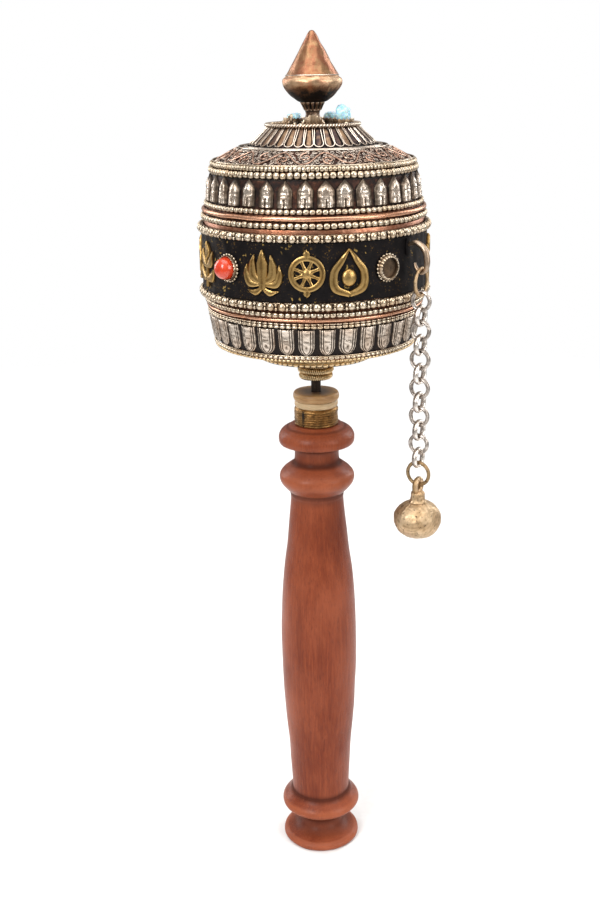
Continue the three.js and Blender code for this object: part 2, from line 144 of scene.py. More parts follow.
class Shape:
    """Closed surfaces in millimetres, with a relief from 0 (deep) to 1 (raised) at each point. The materials
    paint shade where it is low and a highlight where it is high, and beads and wires get a higher relief on
    their upper or outer sides, as painted light.
    """

    def __init__(self):
        self.points = []
        self.faces = []
        self.relief = []
        self.count = 0

    def add(self, points, faces, relief=0.7):
        """Adds one closed surface. Its faces are turned round if they point inwards."""
        points = np.asarray(points, float).reshape(-1, 3)
        lists = [np.asarray(part, int) for part in (faces if isinstance(faces, list) else [faces])]
        middle = points.mean(0)
        volume = 0.0
        for part in lists:
            corners = points[part] - middle
            for i in range(1, part.shape[1] - 1):
                crossed = np.cross(corners[:, i], corners[:, i + 1])
                volume += np.einsum("ij,ij->", corners[:, 0], crossed)
        for part in lists:
            turned_part = part if volume > 0 else part[:, ::-1]
            self.faces.append(turned_part + self.count)
        self.points.append(points)
        self.relief.append(np.broadcast_to(np.clip(relief, 0, 1), len(points)).astype(float))
        self.count += len(points)
        return self

    def moved(self, place):
        """The same shape with each point sent through a function of all its points."""
        self.points = [place(points) for points in self.points]
        return self


def loop_grid(rows, columns, rows_close=False):
    """The quads of a grid whose columns close on themselves, and its rows too if asked."""
    lower = np.arange(rows if rows_close else rows - 1)[:, None]
    upper = (lower + 1) % rows
    left = np.arange(columns)[None, :]
    right = (left + 1) % columns
    quads = [lower * columns + left, lower * columns + right, upper * columns + right, upper * columns + left]
    return np.stack(quads, -1).reshape(-1, 4)


def end_fans(rows, sides):
    """The triangles that close a tube's two ends, round two points that follow the tube's own."""
    first = np.arange(sides)
    beyond = np.roll(first, -1)
    last = (rows - 1) * sides
    start = np.full(sides, rows * sides)
    return [np.stack([start, beyond, first], -1), np.stack([start + 1, last + first, last + beyond], -1)]


def turned(shape, outline, columns=ROUND_TURNED, relief=None, dents=None, name="turned"):
    """Turns an outline of (radius, height) round Z. An outline that starts off the axis closes on itself.

    relief is a value, or one for each point of the outline; without it, ridges are high and grooves are low.
    dents is (depth, size) of a slight unevenness.
    """
    outline = np.asarray(outline, float)
    on_axis = outline[0, 0] < 1e-6
    if relief is None:
        relief = ridge_relief(outline)
    azimuth = np.linspace(0, 2 * math.pi, columns, endpoint=False)
    body = outline[1:-1] if on_axis else outline
    rows = len(body)
    points = spin(body[:, :1], azimuth[None, :], body[:, 1:]).reshape(-1, 3)
    levels = np.broadcast_to(relief, len(outline))
    heights = np.repeat(levels[1:-1] if on_axis else levels, columns)
    if dents:
        depth, size = dents
        away = points * [1, 1, 0]
        away /= np.maximum(np.linalg.norm(away, axis=1), 1e-9)[:, None]
        points = points + away * (depth * lumps(points, size, name))[:, None]
    faces = [loop_grid(rows, columns, rows_close=not on_axis)]
    if on_axis:
        ends = np.array([[0, 0, outline[0, 1]], [0, 0, outline[-1, 1]]])
        faces += end_fans(rows, columns)
        points = np.concatenate([points, ends])
        heights = np.concatenate([heights, levels[[0, -1]]])
    return shape.add(points, faces, heights)


def ridge_relief(outline, reach=0.6, gain=2.2, middle=0.62):
    """How far each point of an outline stands out from the line between its neighbours reach away."""
    legs = np.linalg.norm(np.diff(outline, axis=0), axis=1)
    along = np.concatenate([[0], np.cumsum(legs)])
    before = np.stack([np.interp(along - reach, along, outline[:, i]) for i in (0, 1)], -1)
    after = np.stack([np.interp(along + reach, along, outline[:, i]) for i in (0, 1)], -1)
    chord = after - before
    length = np.maximum(np.linalg.norm(chord, axis=1), 1e-9)
    offset = outline - (before + after) / 2
    side = (offset[:, 0] * chord[:, 1] - offset[:, 1] * chord[:, 0]) / length
    return np.clip(middle + gain * side, 0, 1)


def smooth(points, count, closed=False):
    """A Catmull-Rom curve of count points through the given ones."""
    points = np.asarray(points, float)
    if closed:
        knots = np.concatenate([points[-1:], points, points[:2]])
    else:
        knots = np.concatenate([2 * points[:1] - points[1:2], points, 2 * points[-1:] - points[-2:-1]])
    spans = len(points) if closed else len(points) - 1
    place = np.linspace(0, spans, count, endpoint=not closed)
    i = np.minimum(place.astype(int), spans - 1)
    t = (place - i)[:, None]
    a, b, c, d = knots[i], knots[i + 1], knots[i + 2], knots[i + 3]
    cubic = (3 * b - a - 3 * c + d) * t + (2 * a - 5 * b + 4 * c - d)
    return 0.5 * (2 * b + (c - a) * t + cubic * t * t)


def arc(centre, radii, start, end, count):
    """Points of an elliptic arc in an outline, from one angle to another in degrees."""
    angle = np.radians(np.linspace(start, end, count))
    return np.stack([centre[0] + radii[0] * np.cos(angle), centre[1] + radii[1] * np.sin(angle)], -1)


def eased(outline, radius=0.25, count=4):
    """The outline with its corners rounded."""
    outline = np.asarray(outline, float)
    made = [outline[0]]
    for before, corner, after in zip(outline, outline[1:], outline[2:]):
        back, ahead = before - corner, after - corner
        cut = min(radius, np.linalg.norm(back) * 0.45, np.linalg.norm(ahead) * 0.45)
        start = corner + back / max(np.linalg.norm(back), 1e-9) * cut
        end = corner + ahead / max(np.linalg.norm(ahead), 1e-9) * cut
        for t in np.linspace(0, 1, count):
            made.append((1 - t) ** 2 * start + 2 * t * (1 - t) * corner + t * t * end)
    made.append(outline[-1])
    return np.array(made)


def fine(outline, spacing=0.5):
    """The outline with points added so that none are further apart than spacing."""
    outline = np.asarray(outline, float)
    made = []
    for start, end in zip(outline, outline[1:]):
        parts = max(1, math.ceil(np.linalg.norm(end - start) / spacing))
        made += [start + (end - start) * i / parts for i in range(parts)]
    made.append(outline[-1])
    return np.array(made)


def tube(shape, path, radius, normals, sides=WIRE_SIDES, closed=False, flat=1.0, relief=0.85):
    """A wire along a path. normals point up from the surface it lies on; flat squashes it that way."""
    path = np.asarray(path, float)
    normals = np.broadcast_to(np.asarray(normals, float), path.shape)
    if closed:
        tangent = np.roll(path, -1, 0) - np.roll(path, 1, 0)
    else:
        tangent = np.gradient(path, axis=0)
    tangent /= np.linalg.norm(tangent, axis=1)[:, None]
    normals = normals - tangent * np.einsum("ij,ij->i", normals, tangent)[:, None]
    normals = normals / np.linalg.norm(normals, axis=1)[:, None]
    side = np.cross(tangent, normals)
    angle = np.linspace(0, 2 * math.pi, sides, endpoint=False)
    reach = np.broadcast_to(np.asarray(radius, float), len(path))[:, None, None]
    across = side[:, None, :] * np.cos(angle)[None, :, None]
    up = normals[:, None, :] * np.sin(angle)[None, :, None] * flat
    points = (path[:, None, :] + (across + up) * reach).reshape(-1, 3)
    # Painted light: the side of the wire towards normals gets a higher relief than the side against the
    # surface.
    levels = np.tile(0.45 + 0.55 * np.clip(np.sin(angle), 0, 1), len(path)) * relief / 0.85
    faces = [loop_grid(len(path), sides, rows_close=closed)]
    if not closed:
        faces += end_fans(len(path), sides)
        points = np.concatenate([points, path[[0, -1]]])
        levels = np.concatenate([levels, [relief, relief]])
    return shape.add(points, faces, levels)


def ball_template(segments=12, rings=8):
    """A unit ball's points and faces, with its poles on the Z axis."""
    angle = np.linspace(-math.pi / 2, math.pi / 2, rings + 1)
    outline = np.stack([np.cos(angle), np.sin(angle)], -1)
    outline[[0, -1], 0] = 0
    made = turned(Shape(), outline, segments, relief=0.5)
    return made.points[0], made.faces


BALL_POINTS, BALL_FACES = ball_template(14, 10)


def beaded_wire(shape, name, count, reach, height, deep, tall, groove=0.38, sides=14, each=10):
    """A ring of beads formed in one wire, with its outer faces at reach."""
    dice = dice_for(name)
    place = np.arange(count * each) / each
    which = place.astype(int)
    across = 2 * (place - which) - 1
    plump = dice.uniform(0.9, 1.0, count)[which]
    drop = tall * dice.uniform(-0.04, 0.04, count)[which]
    round_part = np.sqrt(1 - np.abs(across) ** 2.4)
    swell = ((groove + (1 - groove) * round_part) * plump)[:, None]
    angle = np.linspace(0, 2 * math.pi, sides, endpoint=False)[None, :]
    around = reach - deep / 2 + deep / 2 * swell * np.cos(angle)
    rise = height + drop[:, None] + tall / 2 * swell * np.sin(angle)
    points = spin(around, (2 * math.pi * place / count)[:, None] + 0 * angle, rise)
    # Painted light: each bead is lighter on its outer and upper side and darker in the grooves between beads.
    lit_side = 0.45 + 0.55 * np.clip(np.cos(angle) + 0.4 * np.sin(angle), 0, 1)
    relief = (0.12 + 0.88 * round_part)[:, None] * lit_side
    return shape.add(points, loop_grid(count * each, sides, rows_close=True), relief.ravel())


def ring_wire(shape, radius, height, half, relief=0.85, flat=1.0, columns=ROUND_FINE):
    """A plain round wire ring; radius runs to the middle of the wire and half is the wire's radius."""
    azimuth = np.linspace(0, 2 * math.pi, columns, endpoint=False)
    path = spin(radius, azimuth, height)
    return tube(shape, path, half, outward(np.degrees(azimuth)), 12, True, flat, relief)


def rope_ring(shape, radius, height, half, turns):
    """A ring of two wires twisted together."""
    columns = turns * 10
    sides = 16
    azimuth = np.linspace(0, 2 * math.pi, columns, endpoint=False)[:, None]
    angle = np.linspace(0, 2 * math.pi, sides, endpoint=False)[None, :]
    swell = np.abs(np.cos(angle - turns * azimuth))
    reach = half * (0.70 + 0.30 * swell)
    around = radius + reach * np.cos(angle)
    points = spin(around, azimuth + 0 * angle, height + reach * np.sin(angle)).reshape(-1, 3)
    # Painted light: shade where the strands dip, a highlight on their crowns.
    relief = (0.1 + 0.9 * swell ** 1.5) * np.ones_like(angle)
    return shape.add(points, loop_grid(columns, sides, rows_close=True), relief.ravel())


def on_band(centre_azimuth, centre_height, radius):
    """A function that wraps flat points (right, up, out) round a cylinder."""
    def place(points):
        azimuth = math.radians(centre_azimuth) + points[:, 0] / radius
        return spin(radius + points[:, 2], azimuth, centre_height + points[:, 1])
    return place


def facing(centre, normal):
    """A function that stands flat points (right, up, out) at a place, facing along a level normal."""
    normal = np.asarray(normal, float)
    right = np.array([-normal[1], normal[0], 0])
    def place(points):
        moved = centre + np.outer(points[:, 0], right) + np.outer(points[:, 2], normal)
        moved[:, 2] += points[:, 1]
        return moved
    return place


# ---- Materials -----------------------------------------------------------------------------------


def rgb(code):
    """A linear colour from a hex code."""
    parts = [int(code[i:i + 2], 16) / 255 for i in (1, 3, 5)]
    linear = [p / 12.92 if p <= 0.04045 else ((p + 0.055) / 1.055) ** 2.4 for p in parts]
    return (*linear, 1.0)


class Recipe:
    """A material under construction: each method adds a node and returns the socket that it gives."""

    def __init__(self, name):
        self.material = bpy.data.materials.new(name)
        self.material.use_nodes = True
        self.tree = self.material.node_tree
        self.shader = self.tree.nodes["Principled BSDF"]
        coordinates = self.tree.nodes.new("ShaderNodeTexCoord")
        scale = self.node("ShaderNodeVectorMath", operation="SCALE")
        self.link(coordinates.outputs["Object"], scale.inputs[0])
        scale.inputs["Scale"].default_value = 1 / MM
        self.place = scale.outputs[0]

    def node(self, kind, **settings):
        made = self.tree.nodes.new(kind)
        for key, value in settings.items():
            setattr(made, key, value)
        return made

    def link(self, start, end):
        self.tree.links.new(start, end)

    def feed(self, socket, value):
        """Puts a number, a colour or another node's output into a socket."""
        if isinstance(value, bpy.types.NodeSocket):
            self.link(value, socket)
        else:
            socket.default_value = value

    def stretched(self, x, y, z):
        made = self.node("ShaderNodeVectorMath", operation="MULTIPLY")
        self.link(self.place, made.inputs[0])
        made.inputs[1].default_value = (x, y, z)
        return made.outputs[0]

    def noise(self, size, detail=3.0, rough=0.55, place=None, warp=0.0):
        """Noise from 0 to 1 with spots about size millimetres across."""
        made = self.node("ShaderNodeTexNoise")
        self.link(place or self.place, made.inputs["Vector"])
        made.inputs["Scale"].default_value = 1 / size
        made.inputs["Detail"].default_value = detail
        made.inputs["Roughness"].default_value = rough
        made.inputs["Distortion"].default_value = warp
        return made.outputs["Fac"]

    def cells(self, size, feature="F1"):
        made = self.node("ShaderNodeTexVoronoi", feature=feature)
        self.link(self.place, made.inputs["Vector"])
        made.inputs["Scale"].default_value = 1 / size
        return made.outputs["Distance"]

    def relief(self):
        made = self.node("ShaderNodeAttribute", attribute_name="relief")
        return made.outputs["Fac"]

    def ramp(self, value, *stops):
        """A colour, or a grey, for each value. Each stop is (place, hex code or number)."""
        made = self.node("ShaderNodeValToRGB")
        self.link(value, made.inputs["Fac"])
        elements = made.color_ramp.elements
        while len(elements) < len(stops):
            elements.new(0.5)
        for element, (place, colour) in zip(elements, stops):
            element.position = place
            element.color = rgb(colour) if isinstance(colour, str) else (colour, colour, colour, 1)
        return made.outputs["Color"]

    def maths(self, operation, first, second):
        made = self.node("ShaderNodeMath", operation=operation)
        made.use_clamp = operation == "ADD"
        self.feed(made.inputs[0], first)
        self.feed(made.inputs[1], second)
        return made.outputs[0]

    def mix(self, share, first, second, blend="MIX"):
        made = self.node("ShaderNodeMix", data_type="RGBA", blend_type=blend)
        colours = [socket for socket in made.inputs if socket.type == "RGBA"]
        self.feed(made.inputs["Factor"], share)
        self.feed(colours[0], rgb(first) if isinstance(first, str) else first)
        self.feed(colours[1], rgb(second) if isinstance(second, str) else second)
        return [socket for socket in made.outputs if socket.type == "RGBA"][0]

    def swing(self, value, amount):
        """How far a value is from its middle, 0.5, times amount."""
        return self.maths("MULTIPLY", self.maths("SUBTRACT", value, 0.5), amount)

    def bump(self, height, depth, after=None, strength=1.0):
        """Bumps depth millimetres high, on top of the bumps given by after."""
        made = self.node("ShaderNodeBump")
        made.inputs["Distance"].default_value = depth * MM
        made.inputs["Strength"].default_value = strength
        self.link(height, made.inputs["Height"])
        if after is not None:
            self.link(after, made.inputs["Normal"])
        return made.outputs["Normal"]

    def done(self, **inputs):
        for name, value in inputs.items():
            self.feed(self.shader.inputs[name.replace("_", " ")], value)
        return self.material


def aged_metal(
    name, shade_and_grime, tone, shine, rough=(0.6, 0.28), tint=None, wear=0.35, grain=0.05, pits=0.0, stain=None,
):
    """Worn metal, uneven and finely pitted: painted shade in its recesses and a painted highlight on what
    stands out, both from the relief, broken up by patches of real wear.

    tint is a colour that drifts over it; stain is (size, colour) of patches of another metal.
    """
    make = Recipe(name)
    patches = make.noise(2.6, 5, 0.62, warp=0.4)
    spots = make.noise(0.35, 4, 0.6)
    # level is the relief, which paints shade and highlights, shifted by random patches and spots of wear.
    level = make.maths("ADD", make.relief(), make.swing(patches, wear * 2))
    level = make.maths("ADD", level, make.swing(spots, wear))
    # The first colour is painted shade where the level is low and also the dirt in the pits; shine is a
    # painted highlight where the level is high.
    colour = make.ramp(level, (0.08, shade_and_grime), (0.42, tone), (0.85, shine))
    if tint:
        drift = make.ramp(make.noise(6.0, 3, 0.5), (0.42, 0.0), (0.7, 0.55))
        colour = make.mix(drift, colour, tint, "MULTIPLY")
    if stain:
        share = make.ramp(make.noise(stain[0], 4, 0.6, warp=0.6), (0.46, 0.0), (0.66, 0.75))
        colour = make.mix(make.maths("MULTIPLY", share, level), colour, stain[1])
    if pits:
        holes = make.ramp(make.noise(1.1, 3, 0.65, warp=0.6), (0.60, 0.0), (0.68, pits))
        colour = make.mix(holes, colour, shade_and_grime)
    gloss = make.ramp(level, (0.1, rough[0]), (0.8, rough[1]))
    gloss = make.maths("ADD", gloss, make.swing(spots, 0.25))
    metal = make.ramp(level, (0.05, 0.55), (0.4, 1.0))
    normal = make.bump(spots, grain)
    normal = make.bump(patches, grain * 2, normal)
    return make.done(Base_Color=colour, Metallic=metal, Roughness=gloss, Normal=normal)


def wood():
    """Stained wood with its grain along the handle, duller in the turned creases, with painted shade in the
    creases and a painted highlight on the ridges.
    """
    make = Recipe("stained_wood")
    grain = make.noise(0.55, 6, 0.65, make.stretched(1, 1, 0.045), 0.6)
    streaks = make.noise(2.6, 5, 0.6, make.stretched(1, 1, 0.03), 0.8)
    blotches = make.noise(16, 3, 0.5, make.stretched(1, 1, 0.5))
    pores = make.ramp(make.noise(0.22, 2, 0.5, make.stretched(1, 1, 0.08)), (0.30, 0.0), (0.42, 1.0))
    colour = make.ramp(grain, (0.25, "#60281a"), (0.5, "#7a371f"), (0.78, "#924b2c"))
    colour = make.mix(make.ramp(streaks, (0.38, 0.4), (0.62, 0.0)), colour, "#551f10")
    colour = make.mix(make.ramp(blotches, (0.4, 0.0), (0.66, 0.6)), colour, "#9a5236")
    # Painted shade: darker where the relief is low, in the turned creases.
    colour = make.mix(make.ramp(make.relief(), (0.1, 0.85), (0.6, 0.0)), colour, "#3d170b")
    # Painted highlight: lighter where the relief is high, on the ridges.
    colour = make.mix(make.ramp(make.relief(), (0.78, 0.0), (0.95, 0.35)), colour, "#ab6243")
    colour = make.mix(make.ramp(pores, (0.0, 0.45), (1.0, 0.0)), colour, "#451a0d")
    polish = make.ramp(grain, (0.3, 0.4), (0.8, 0.28))
    creases = make.ramp(make.relief(), (0.15, 0.4), (0.45, 0.0))
    gloss = make.maths("ADD", polish, creases)
    normal = make.bump(grain, 0.05)
    normal = make.bump(pores, 0.04, normal)
    return make.done(
        Base_Color=colour, Roughness=gloss, Normal=normal,
        Specular_IOR_Level=0.15, Coat_Weight=0.05, Coat_Roughness=0.2,
    )


def horny(name, dark, light, gloss):
    """Horn or bone: faint streaks round the disc, with painted shade where the relief is low."""
    make = Recipe(name)
    streaks = make.noise(1.4, 5, 0.6, make.stretched(0.25, 0.25, 2.2), 0.6)
    clouds = make.noise(5, 3, 0.5)
    colour = make.ramp(streaks, (0.25, dark), (0.7, light))
    colour = make.mix(make.ramp(clouds, (0.35, 0.35), (0.7, 0.0)), colour, dark)
    # Painted shade where the relief is low, on the disc's top near the spindle.
    colour = make.mix(make.ramp(make.relief(), (0.15, 0.9), (0.55, 0.0)), colour, "#3a2618")
    return make.done(
        Base_Color=colour, Roughness=gloss, Normal=make.bump(streaks, 0.05), Subsurface_Weight=0.12,
        Subsurface_Radius=(0.002, 0.0012, 0.0008),
    )


def lacquer():
    """Black paint with worn brown patches, scratches and specks of gilding."""
    make = Recipe("black_lacquer")
    clouds = make.noise(5, 5, 0.6)
    dust = make.noise(0.5, 4, 0.7)
    scratches = make.noise(0.35, 3, 0.6, make.stretched(0.12, 0.12, 1.6), 0.7)
    colour = make.ramp(clouds, (0.3, "#0b090a"), (0.7, "#191516"))
    colour = make.mix(make.ramp(scratches, (0.62, 0.0), (0.75, 0.3)), colour, "#352f2e")
    specks = make.ramp(dust, (0.60, 0.0), (0.66, 1.0))
    gilt = make.maths("MULTIPLY", specks, make.ramp(clouds, (0.48, 0.0), (0.6, 1.0)))
    colour = make.mix(gilt, colour, "#8c6b31")
    flakes = make.ramp(make.noise(1.5, 2, 0.4, warp=0.5), (0.66, 0.0), (0.69, 1.0))
    flakes = make.maths("MULTIPLY", flakes, make.ramp(make.noise(9, 2, 0.5), (0.46, 0.0), (0.54, 1.0)))
    colour = make.mix(flakes, colour, "#8d7440")
    gloss = make.ramp(dust, (0.3, 0.5), (0.7, 0.68))
    normal = make.bump(clouds, 0.12, make.bump(dust, 0.04))
    return make.done(Base_Color=colour, Roughness=gloss, Metallic=gilt, Normal=normal, Specular_IOR_Level=0.1)


def stone(name, dark, middle, light, gloss, veins=None, size=1.4):
    make = Recipe(name)
    clouds = make.noise(size, 5, 0.6, warp=0.5)
    colour = make.ramp(clouds, (0.3, dark), (0.5, middle), (0.72, light))
    if veins:
        lines = make.ramp(make.cells(1.7, "DISTANCE_TO_EDGE"), (0.0, 0.5), (0.06, 0.0))
        colour = make.mix(lines, colour, veins)
    normal = make.bump(clouds, 0.06)
    return make.done(
        Base_Color=colour, Roughness=gloss, Normal=normal, Coat_Weight=0.6, Coat_Roughness=0.12,
        Subsurface_Weight=0.35, Subsurface_Radius=(0.003, 0.0014, 0.0008),
    )


def paper():
    """The edge of a tightly rolled sheet: thin pale turns with painted shade in the grooves between them."""
    make = Recipe("rolled_paper")
    fibres = make.noise(0.4, 4, 0.6)
    age = make.noise(8, 3, 0.5)
    colour = make.ramp(fibres, (0.3, "#b79c6c"), (0.7, "#dccaa2"))
    colour = make.mix(make.ramp(age, (0.4, 0.0), (0.75, 0.5)), colour, "#a9844f")
    # Painted shade in the grooves between the turns, where the relief is low.
    colour = make.mix(make.ramp(make.relief(), (0.1, 0.8), (0.6, 0.0)), colour, "#5d4527")
    return make.done(Base_Color=colour, Roughness=0.9, Normal=make.bump(fibres, 0.05))


# In each metal, the first colour is painted shade and pit dirt, the second the metal's tone and the third a
# painted highlight.
METALS = {
    "silver": aged_metal("white_metal", "#1b1310", "#756759", "#dacdbf", (0.55, 0.25), "#e6d0bd"),
    "bead": aged_metal("bead_metal", "#1b120e", "#7e6b57", "#d5c6b0", (0.5, 0.27), "#ecd3b3"),
    "pale": aged_metal("pale_metal", "#221812", "#a08c78", "#f0e2d0", (0.45, 0.27), "#f4dcc4", wear=0.3),
    "filigree": aged_metal(
        "filigree_metal", "#1f1612", "#77685d", "#c9bdb0", (0.55, 0.3), "#e2bba4", wear=0.5,
    ),
    "rosy": aged_metal("rosy_metal", "#2a1a15", "#8a6a5c", "#cfab96", (0.5, 0.3), "#efd8c4", wear=0.4),
    "brass": aged_metal("aged_brass", "#241a10", "#7c6442", "#bda274", (0.55, 0.3), "#f2dcb8"),
    "pale_brass": aged_metal("pale_brass", "#2b1d10", "#957a52", "#dfc59b", (0.5, 0.3), "#f2dcc0", wear=0.4),
    "gilt": aged_metal("gilt_ornament", "#2a1d10", "#7a6038", "#bb9b64", (0.5, 0.32), "#ead6b2", wear=0.5),
    "copper": aged_metal("old_copper", "#2a1610", "#935f49", "#d6a386", (0.45, 0.26), "#f0d2b4", wear=0.4),
    "cone": aged_metal(
        "cone_copper", "#33201a", "#84523e", "#ab7659", (0.45, 0.3), "#dcc096", 0.4, stain=(5, "#a8936a"),
    ),
    "bowl": aged_metal(
        "bowl_metal", "#17100d", "#8a6a52", "#d2b290", (0.5, 0.4), "#d9b9a0", 0.6, stain=(5, "#c47c5c"),
    ),
    "neck": aged_metal("neck_metal", "#1a1310", "#6d584a", "#c8b09c", (0.5, 0.3), "#f0dac4", wear=0.4),
    "collar": aged_metal("collar_metal", "#1d150f", "#8e7860", "#e6d3ba", (0.5, 0.34), "#e8cfae", wear=0.4),
    "dark_copper": aged_metal(
        "dark_copper", "#1a100e", "#573c32", "#9a6c52", (0.6, 0.4), "#d9b08e", wear=0.6,
    ),
    "patina": aged_metal("brown_patina", "#151114", "#4c3d3c", "#93795f", (0.55, 0.34), "#c8a27e", wear=0.6),
    "chain": aged_metal("chain_metal", "#24201e", "#a29890", "#f2eae2", (0.45, 0.25), None, wear=0.6),
    "weight": aged_metal(
        "cast_brass", "#33261a", "#98805f", "#cfb594", (0.6, 0.42), "#f0dabc", grain=0.12, pits=0.9,
    ),
    "iron": aged_metal("dark_iron", "#0f0c0b", "#2b2320", "#4a403a", (0.6, 0.4), None),
    "ferrule": aged_metal(
        "ferrule_brass", "#1e160e", "#664c2e", "#997548", (0.55, 0.38), "#d4b488", wear=0.8, pits=0.8,
    ),
}
WOOD = wood()
HORN = horny("brown_horn", "#80592f", "#bd9868", 0.45)
BONE = horny("cream_bone", "#a88c67", "#cfb68f", 0.5)
LACQUER = lacquer()
CORAL = stone("coral", "#c03012", "#cc3a16", "#d5471e", 0.22, size=4)
TURQUOISE = stone("turquoise", "#8ccfe4", "#b6e3f1", "#e0f5fa", 0.4, "#a3b1ab", 1.8)
PAPER = paper()


# ---- Putting pieces in the scene -------------------------------------------------------------------


def piece(name, shape, material, like, replaces=True, sharp=38):
    """Makes an object of a shape, which rides with the CAD node called like.

    With replaces, it's shown in that node's place. Edges sharper than sharp degrees stay crisp.
    """
    points = np.concatenate(shape.points) * MM
    mesh = bpy.data.meshes.new(name)
    mesh.vertices.add(len(points))
    mesh.vertices.foreach_set("co", points.astype(np.float32).ravel())
    corners = np.concatenate([part.ravel() for part in shape.faces])
    sizes = np.concatenate([np.full(len(part), part.shape[1]) for part in shape.faces])
    mesh.loops.add(len(corners))
    mesh.loops.foreach_set("vertex_index", corners.astype(np.int32))
    mesh.polygons.add(len(sizes))
    mesh.polygons.foreach_set("loop_start", np.concatenate([[0], np.cumsum(sizes)[:-1]]).astype(np.int32))
    mesh.update(calc_edges=True)
    mesh.validate()
    mesh.shade_smooth()
    mesh.set_sharp_from_angle(angle=math.radians(sharp))
    levels = mesh.attributes.new("relief", "FLOAT", "POINT")
    levels.data.foreach_set("value", np.concatenate(shape.relief).astype(np.float32))
    mesh.materials.append(material)
    made = bpy.data.objects.new(name, mesh)
    bpy.context.scene.collection.objects.link(made)
    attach(made, BODY_OF[like])
    if replaces:
        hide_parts(like)
    return made


def span(node):
    """The lowest and highest corners of a CAD node in millimetres."""
    low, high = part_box(node)
    return np.array(low) / MM, np.array(high) / MM


def turned_span(node):
    """(outermost radius, foot, top) of a CAD node that is round the axis."""
    low, high = span(node)
    return high[0], low[2], high[2]


def ring_of(node):
    """(outermost radius, middle height, thickness) of a CAD ring round the axis."""
    low, high = span(node)
    return high[0], (low[2] + high[2]) / 2, high[2] - low[2]


# ---- Handle, ferrule, washers and spindle ----------------------------------------------------------


def make_handle():
    top = span("handle")[1][2]
    foot = smooth([(13.6, 0), (14.6, 0.3), (15.1, 1.3), (14.8, 2.4), (13.6, 3.2)], 18)
    hollow = smooth([(12.4, 3.6), (10.2, 4.6), (8.4, 6.2), (7.5, 8.6), (8.0, 10.6), (9.4, 11.8)], 30)
    foot_ring = smooth(
        [(10.8, 12.6), (13.4, 13.9), (15.0, 15.3), (15.4, 16.5), (14.6, 18.2), (12.8, 20.0)], 30,
    )
    swelling = [(11.6, 21.3), (11.35, 24), (12.2, 42), (13.7, 62), (14.5, 85), (13.7, 110), (11.5, 129)]
    body = smooth([*swelling, (9.9, 145), (9.9, 148.4)], 90)
    ridge = smooth(
        [(10.3, 149.6), (11.9, 151.3), (13.4, 153.3), (13.85, 155.1), (13.5, 156.8), (12.3, 158.3)], 30,
    )
    waist = smooth([(10.5, 159.7), (9.0, 160.7), (8.3, 162.0), (8.15, 164.6), (8.5, 167.3)], 24)
    under_ring = smooth([(9.6, 167.9), (12.3, 168.1), (13.4, 168.4), (13.85, 169.1)], 14)
    top_ring = smooth([(13.95, 170.1), (13.85, 171.3), (13.2, 172.7), (12.0, 173.8), (10.3, 174.6)], 20)
    shoulder = [(9.4, top - 0.15), (9.1, top)]
    curves = [foot, hollow, foot_ring, body, ridge, waist, under_ring, top_ring, shoulder]
    outline = np.concatenate([fine([(0, 0), (13.2, 0)], 3), *curves, fine([(8.4, top), (0, top)], 2)])
    relief = ridge_relief(outline, 1.8, 1.0, 0.62) - 0.18 * (outline[:, 1] > 167.8)
    piece("turned_handle", turned(Shape(), outline, 128, relief, (0.06, 14), "handle"), WOOD, "handle")


def make_ferrule():
    radius, foot, top = turned_span("ferrule")
    ridges = 7
    outline = [(SPINDLE_BORE, foot), (radius - 0.35, foot)]
    for i in range(ridges):
        start = foot + (top - foot - 0.6) * i / ridges
        middle = start + (top - foot - 0.6) / ridges / 2
        outline += [tuple(p) for p in arc((radius - 0.24, middle), (0.2, 0.44), -80, 80, 9)]
    outline += [(radius - 0.5, top - 0.3), (radius - 0.8, top), (SPINDLE_BORE, top)]
    relief = ridge_relief(np.array(outline), gain=1.2)
    shape = turned(Shape(), outline, ROUND_TURNED, relief, (0.1, 3), "ferrule")
    heights = np.linspace(foot + 0.2, top - 0.5, 14)
    seam = np.array([(radius - 0.28) * outward(SPLICE) + [0, 0, height] for height in heights])
    tube(shape, seam, 0.7, outward(SPLICE), flat=0.4, relief=0.12)
    piece("ribbed_ferrule", shape, METALS["ferrule"], "ferrule")


def make_washer(node, name, material, bulge):
    radius, foot, top = turned_span(node)
    flat = radius - bulge - 0.8
    rim = arc((radius - bulge, (foot + top) / 2), (bulge, (top - foot) / 2), -88, 88, 16)
    outline = [(SPINDLE_BORE, foot), (flat, foot), *rim, (flat, top), (6, top), (4, top), (SPINDLE_BORE, top)]
    # Painted shade: the top face gets a low relief, lowest near the spindle; the rim and the foot stay high.
    relief = [0.9 if point[1] < top - 0.01 else 0.05 + 0.6 * (point[0] / radius) ** 2 for point in outline]
    piece(name, turned(Shape(), outline, ROUND_TURNED, np.array(relief), (0.05, 6), name), material, node)


def make_spindle():
    radius, foot, top = turned_span("spindle")
    tip_radius = 1.35
    outline = [(0, foot), (radius, foot), (radius, SHOULDER), (tip_radius, SHOULDER)]
    thread_foot = 283
    outline.append((tip_radius, thread_foot))
    turns = 14
    for i in range(turns):
        height = thread_foot + (top - 0.4 - thread_foot) * (i + 0.5) / turns
        outline += [(tip_radius - 0.16, height - 0.12), (tip_radius, height + 0.12)]
    outline += [(tip_radius - 0.3, top), (0, top)]
    shape = turned(Shape(), fine(outline, 2), 32, dents=(0.03, 3), name="spindle")
    piece("threaded_spindle", shape, METALS["iron"], "spindle")


# ---- Drum ------------------------------------------------------------------------------------------

SHEET = 0.8


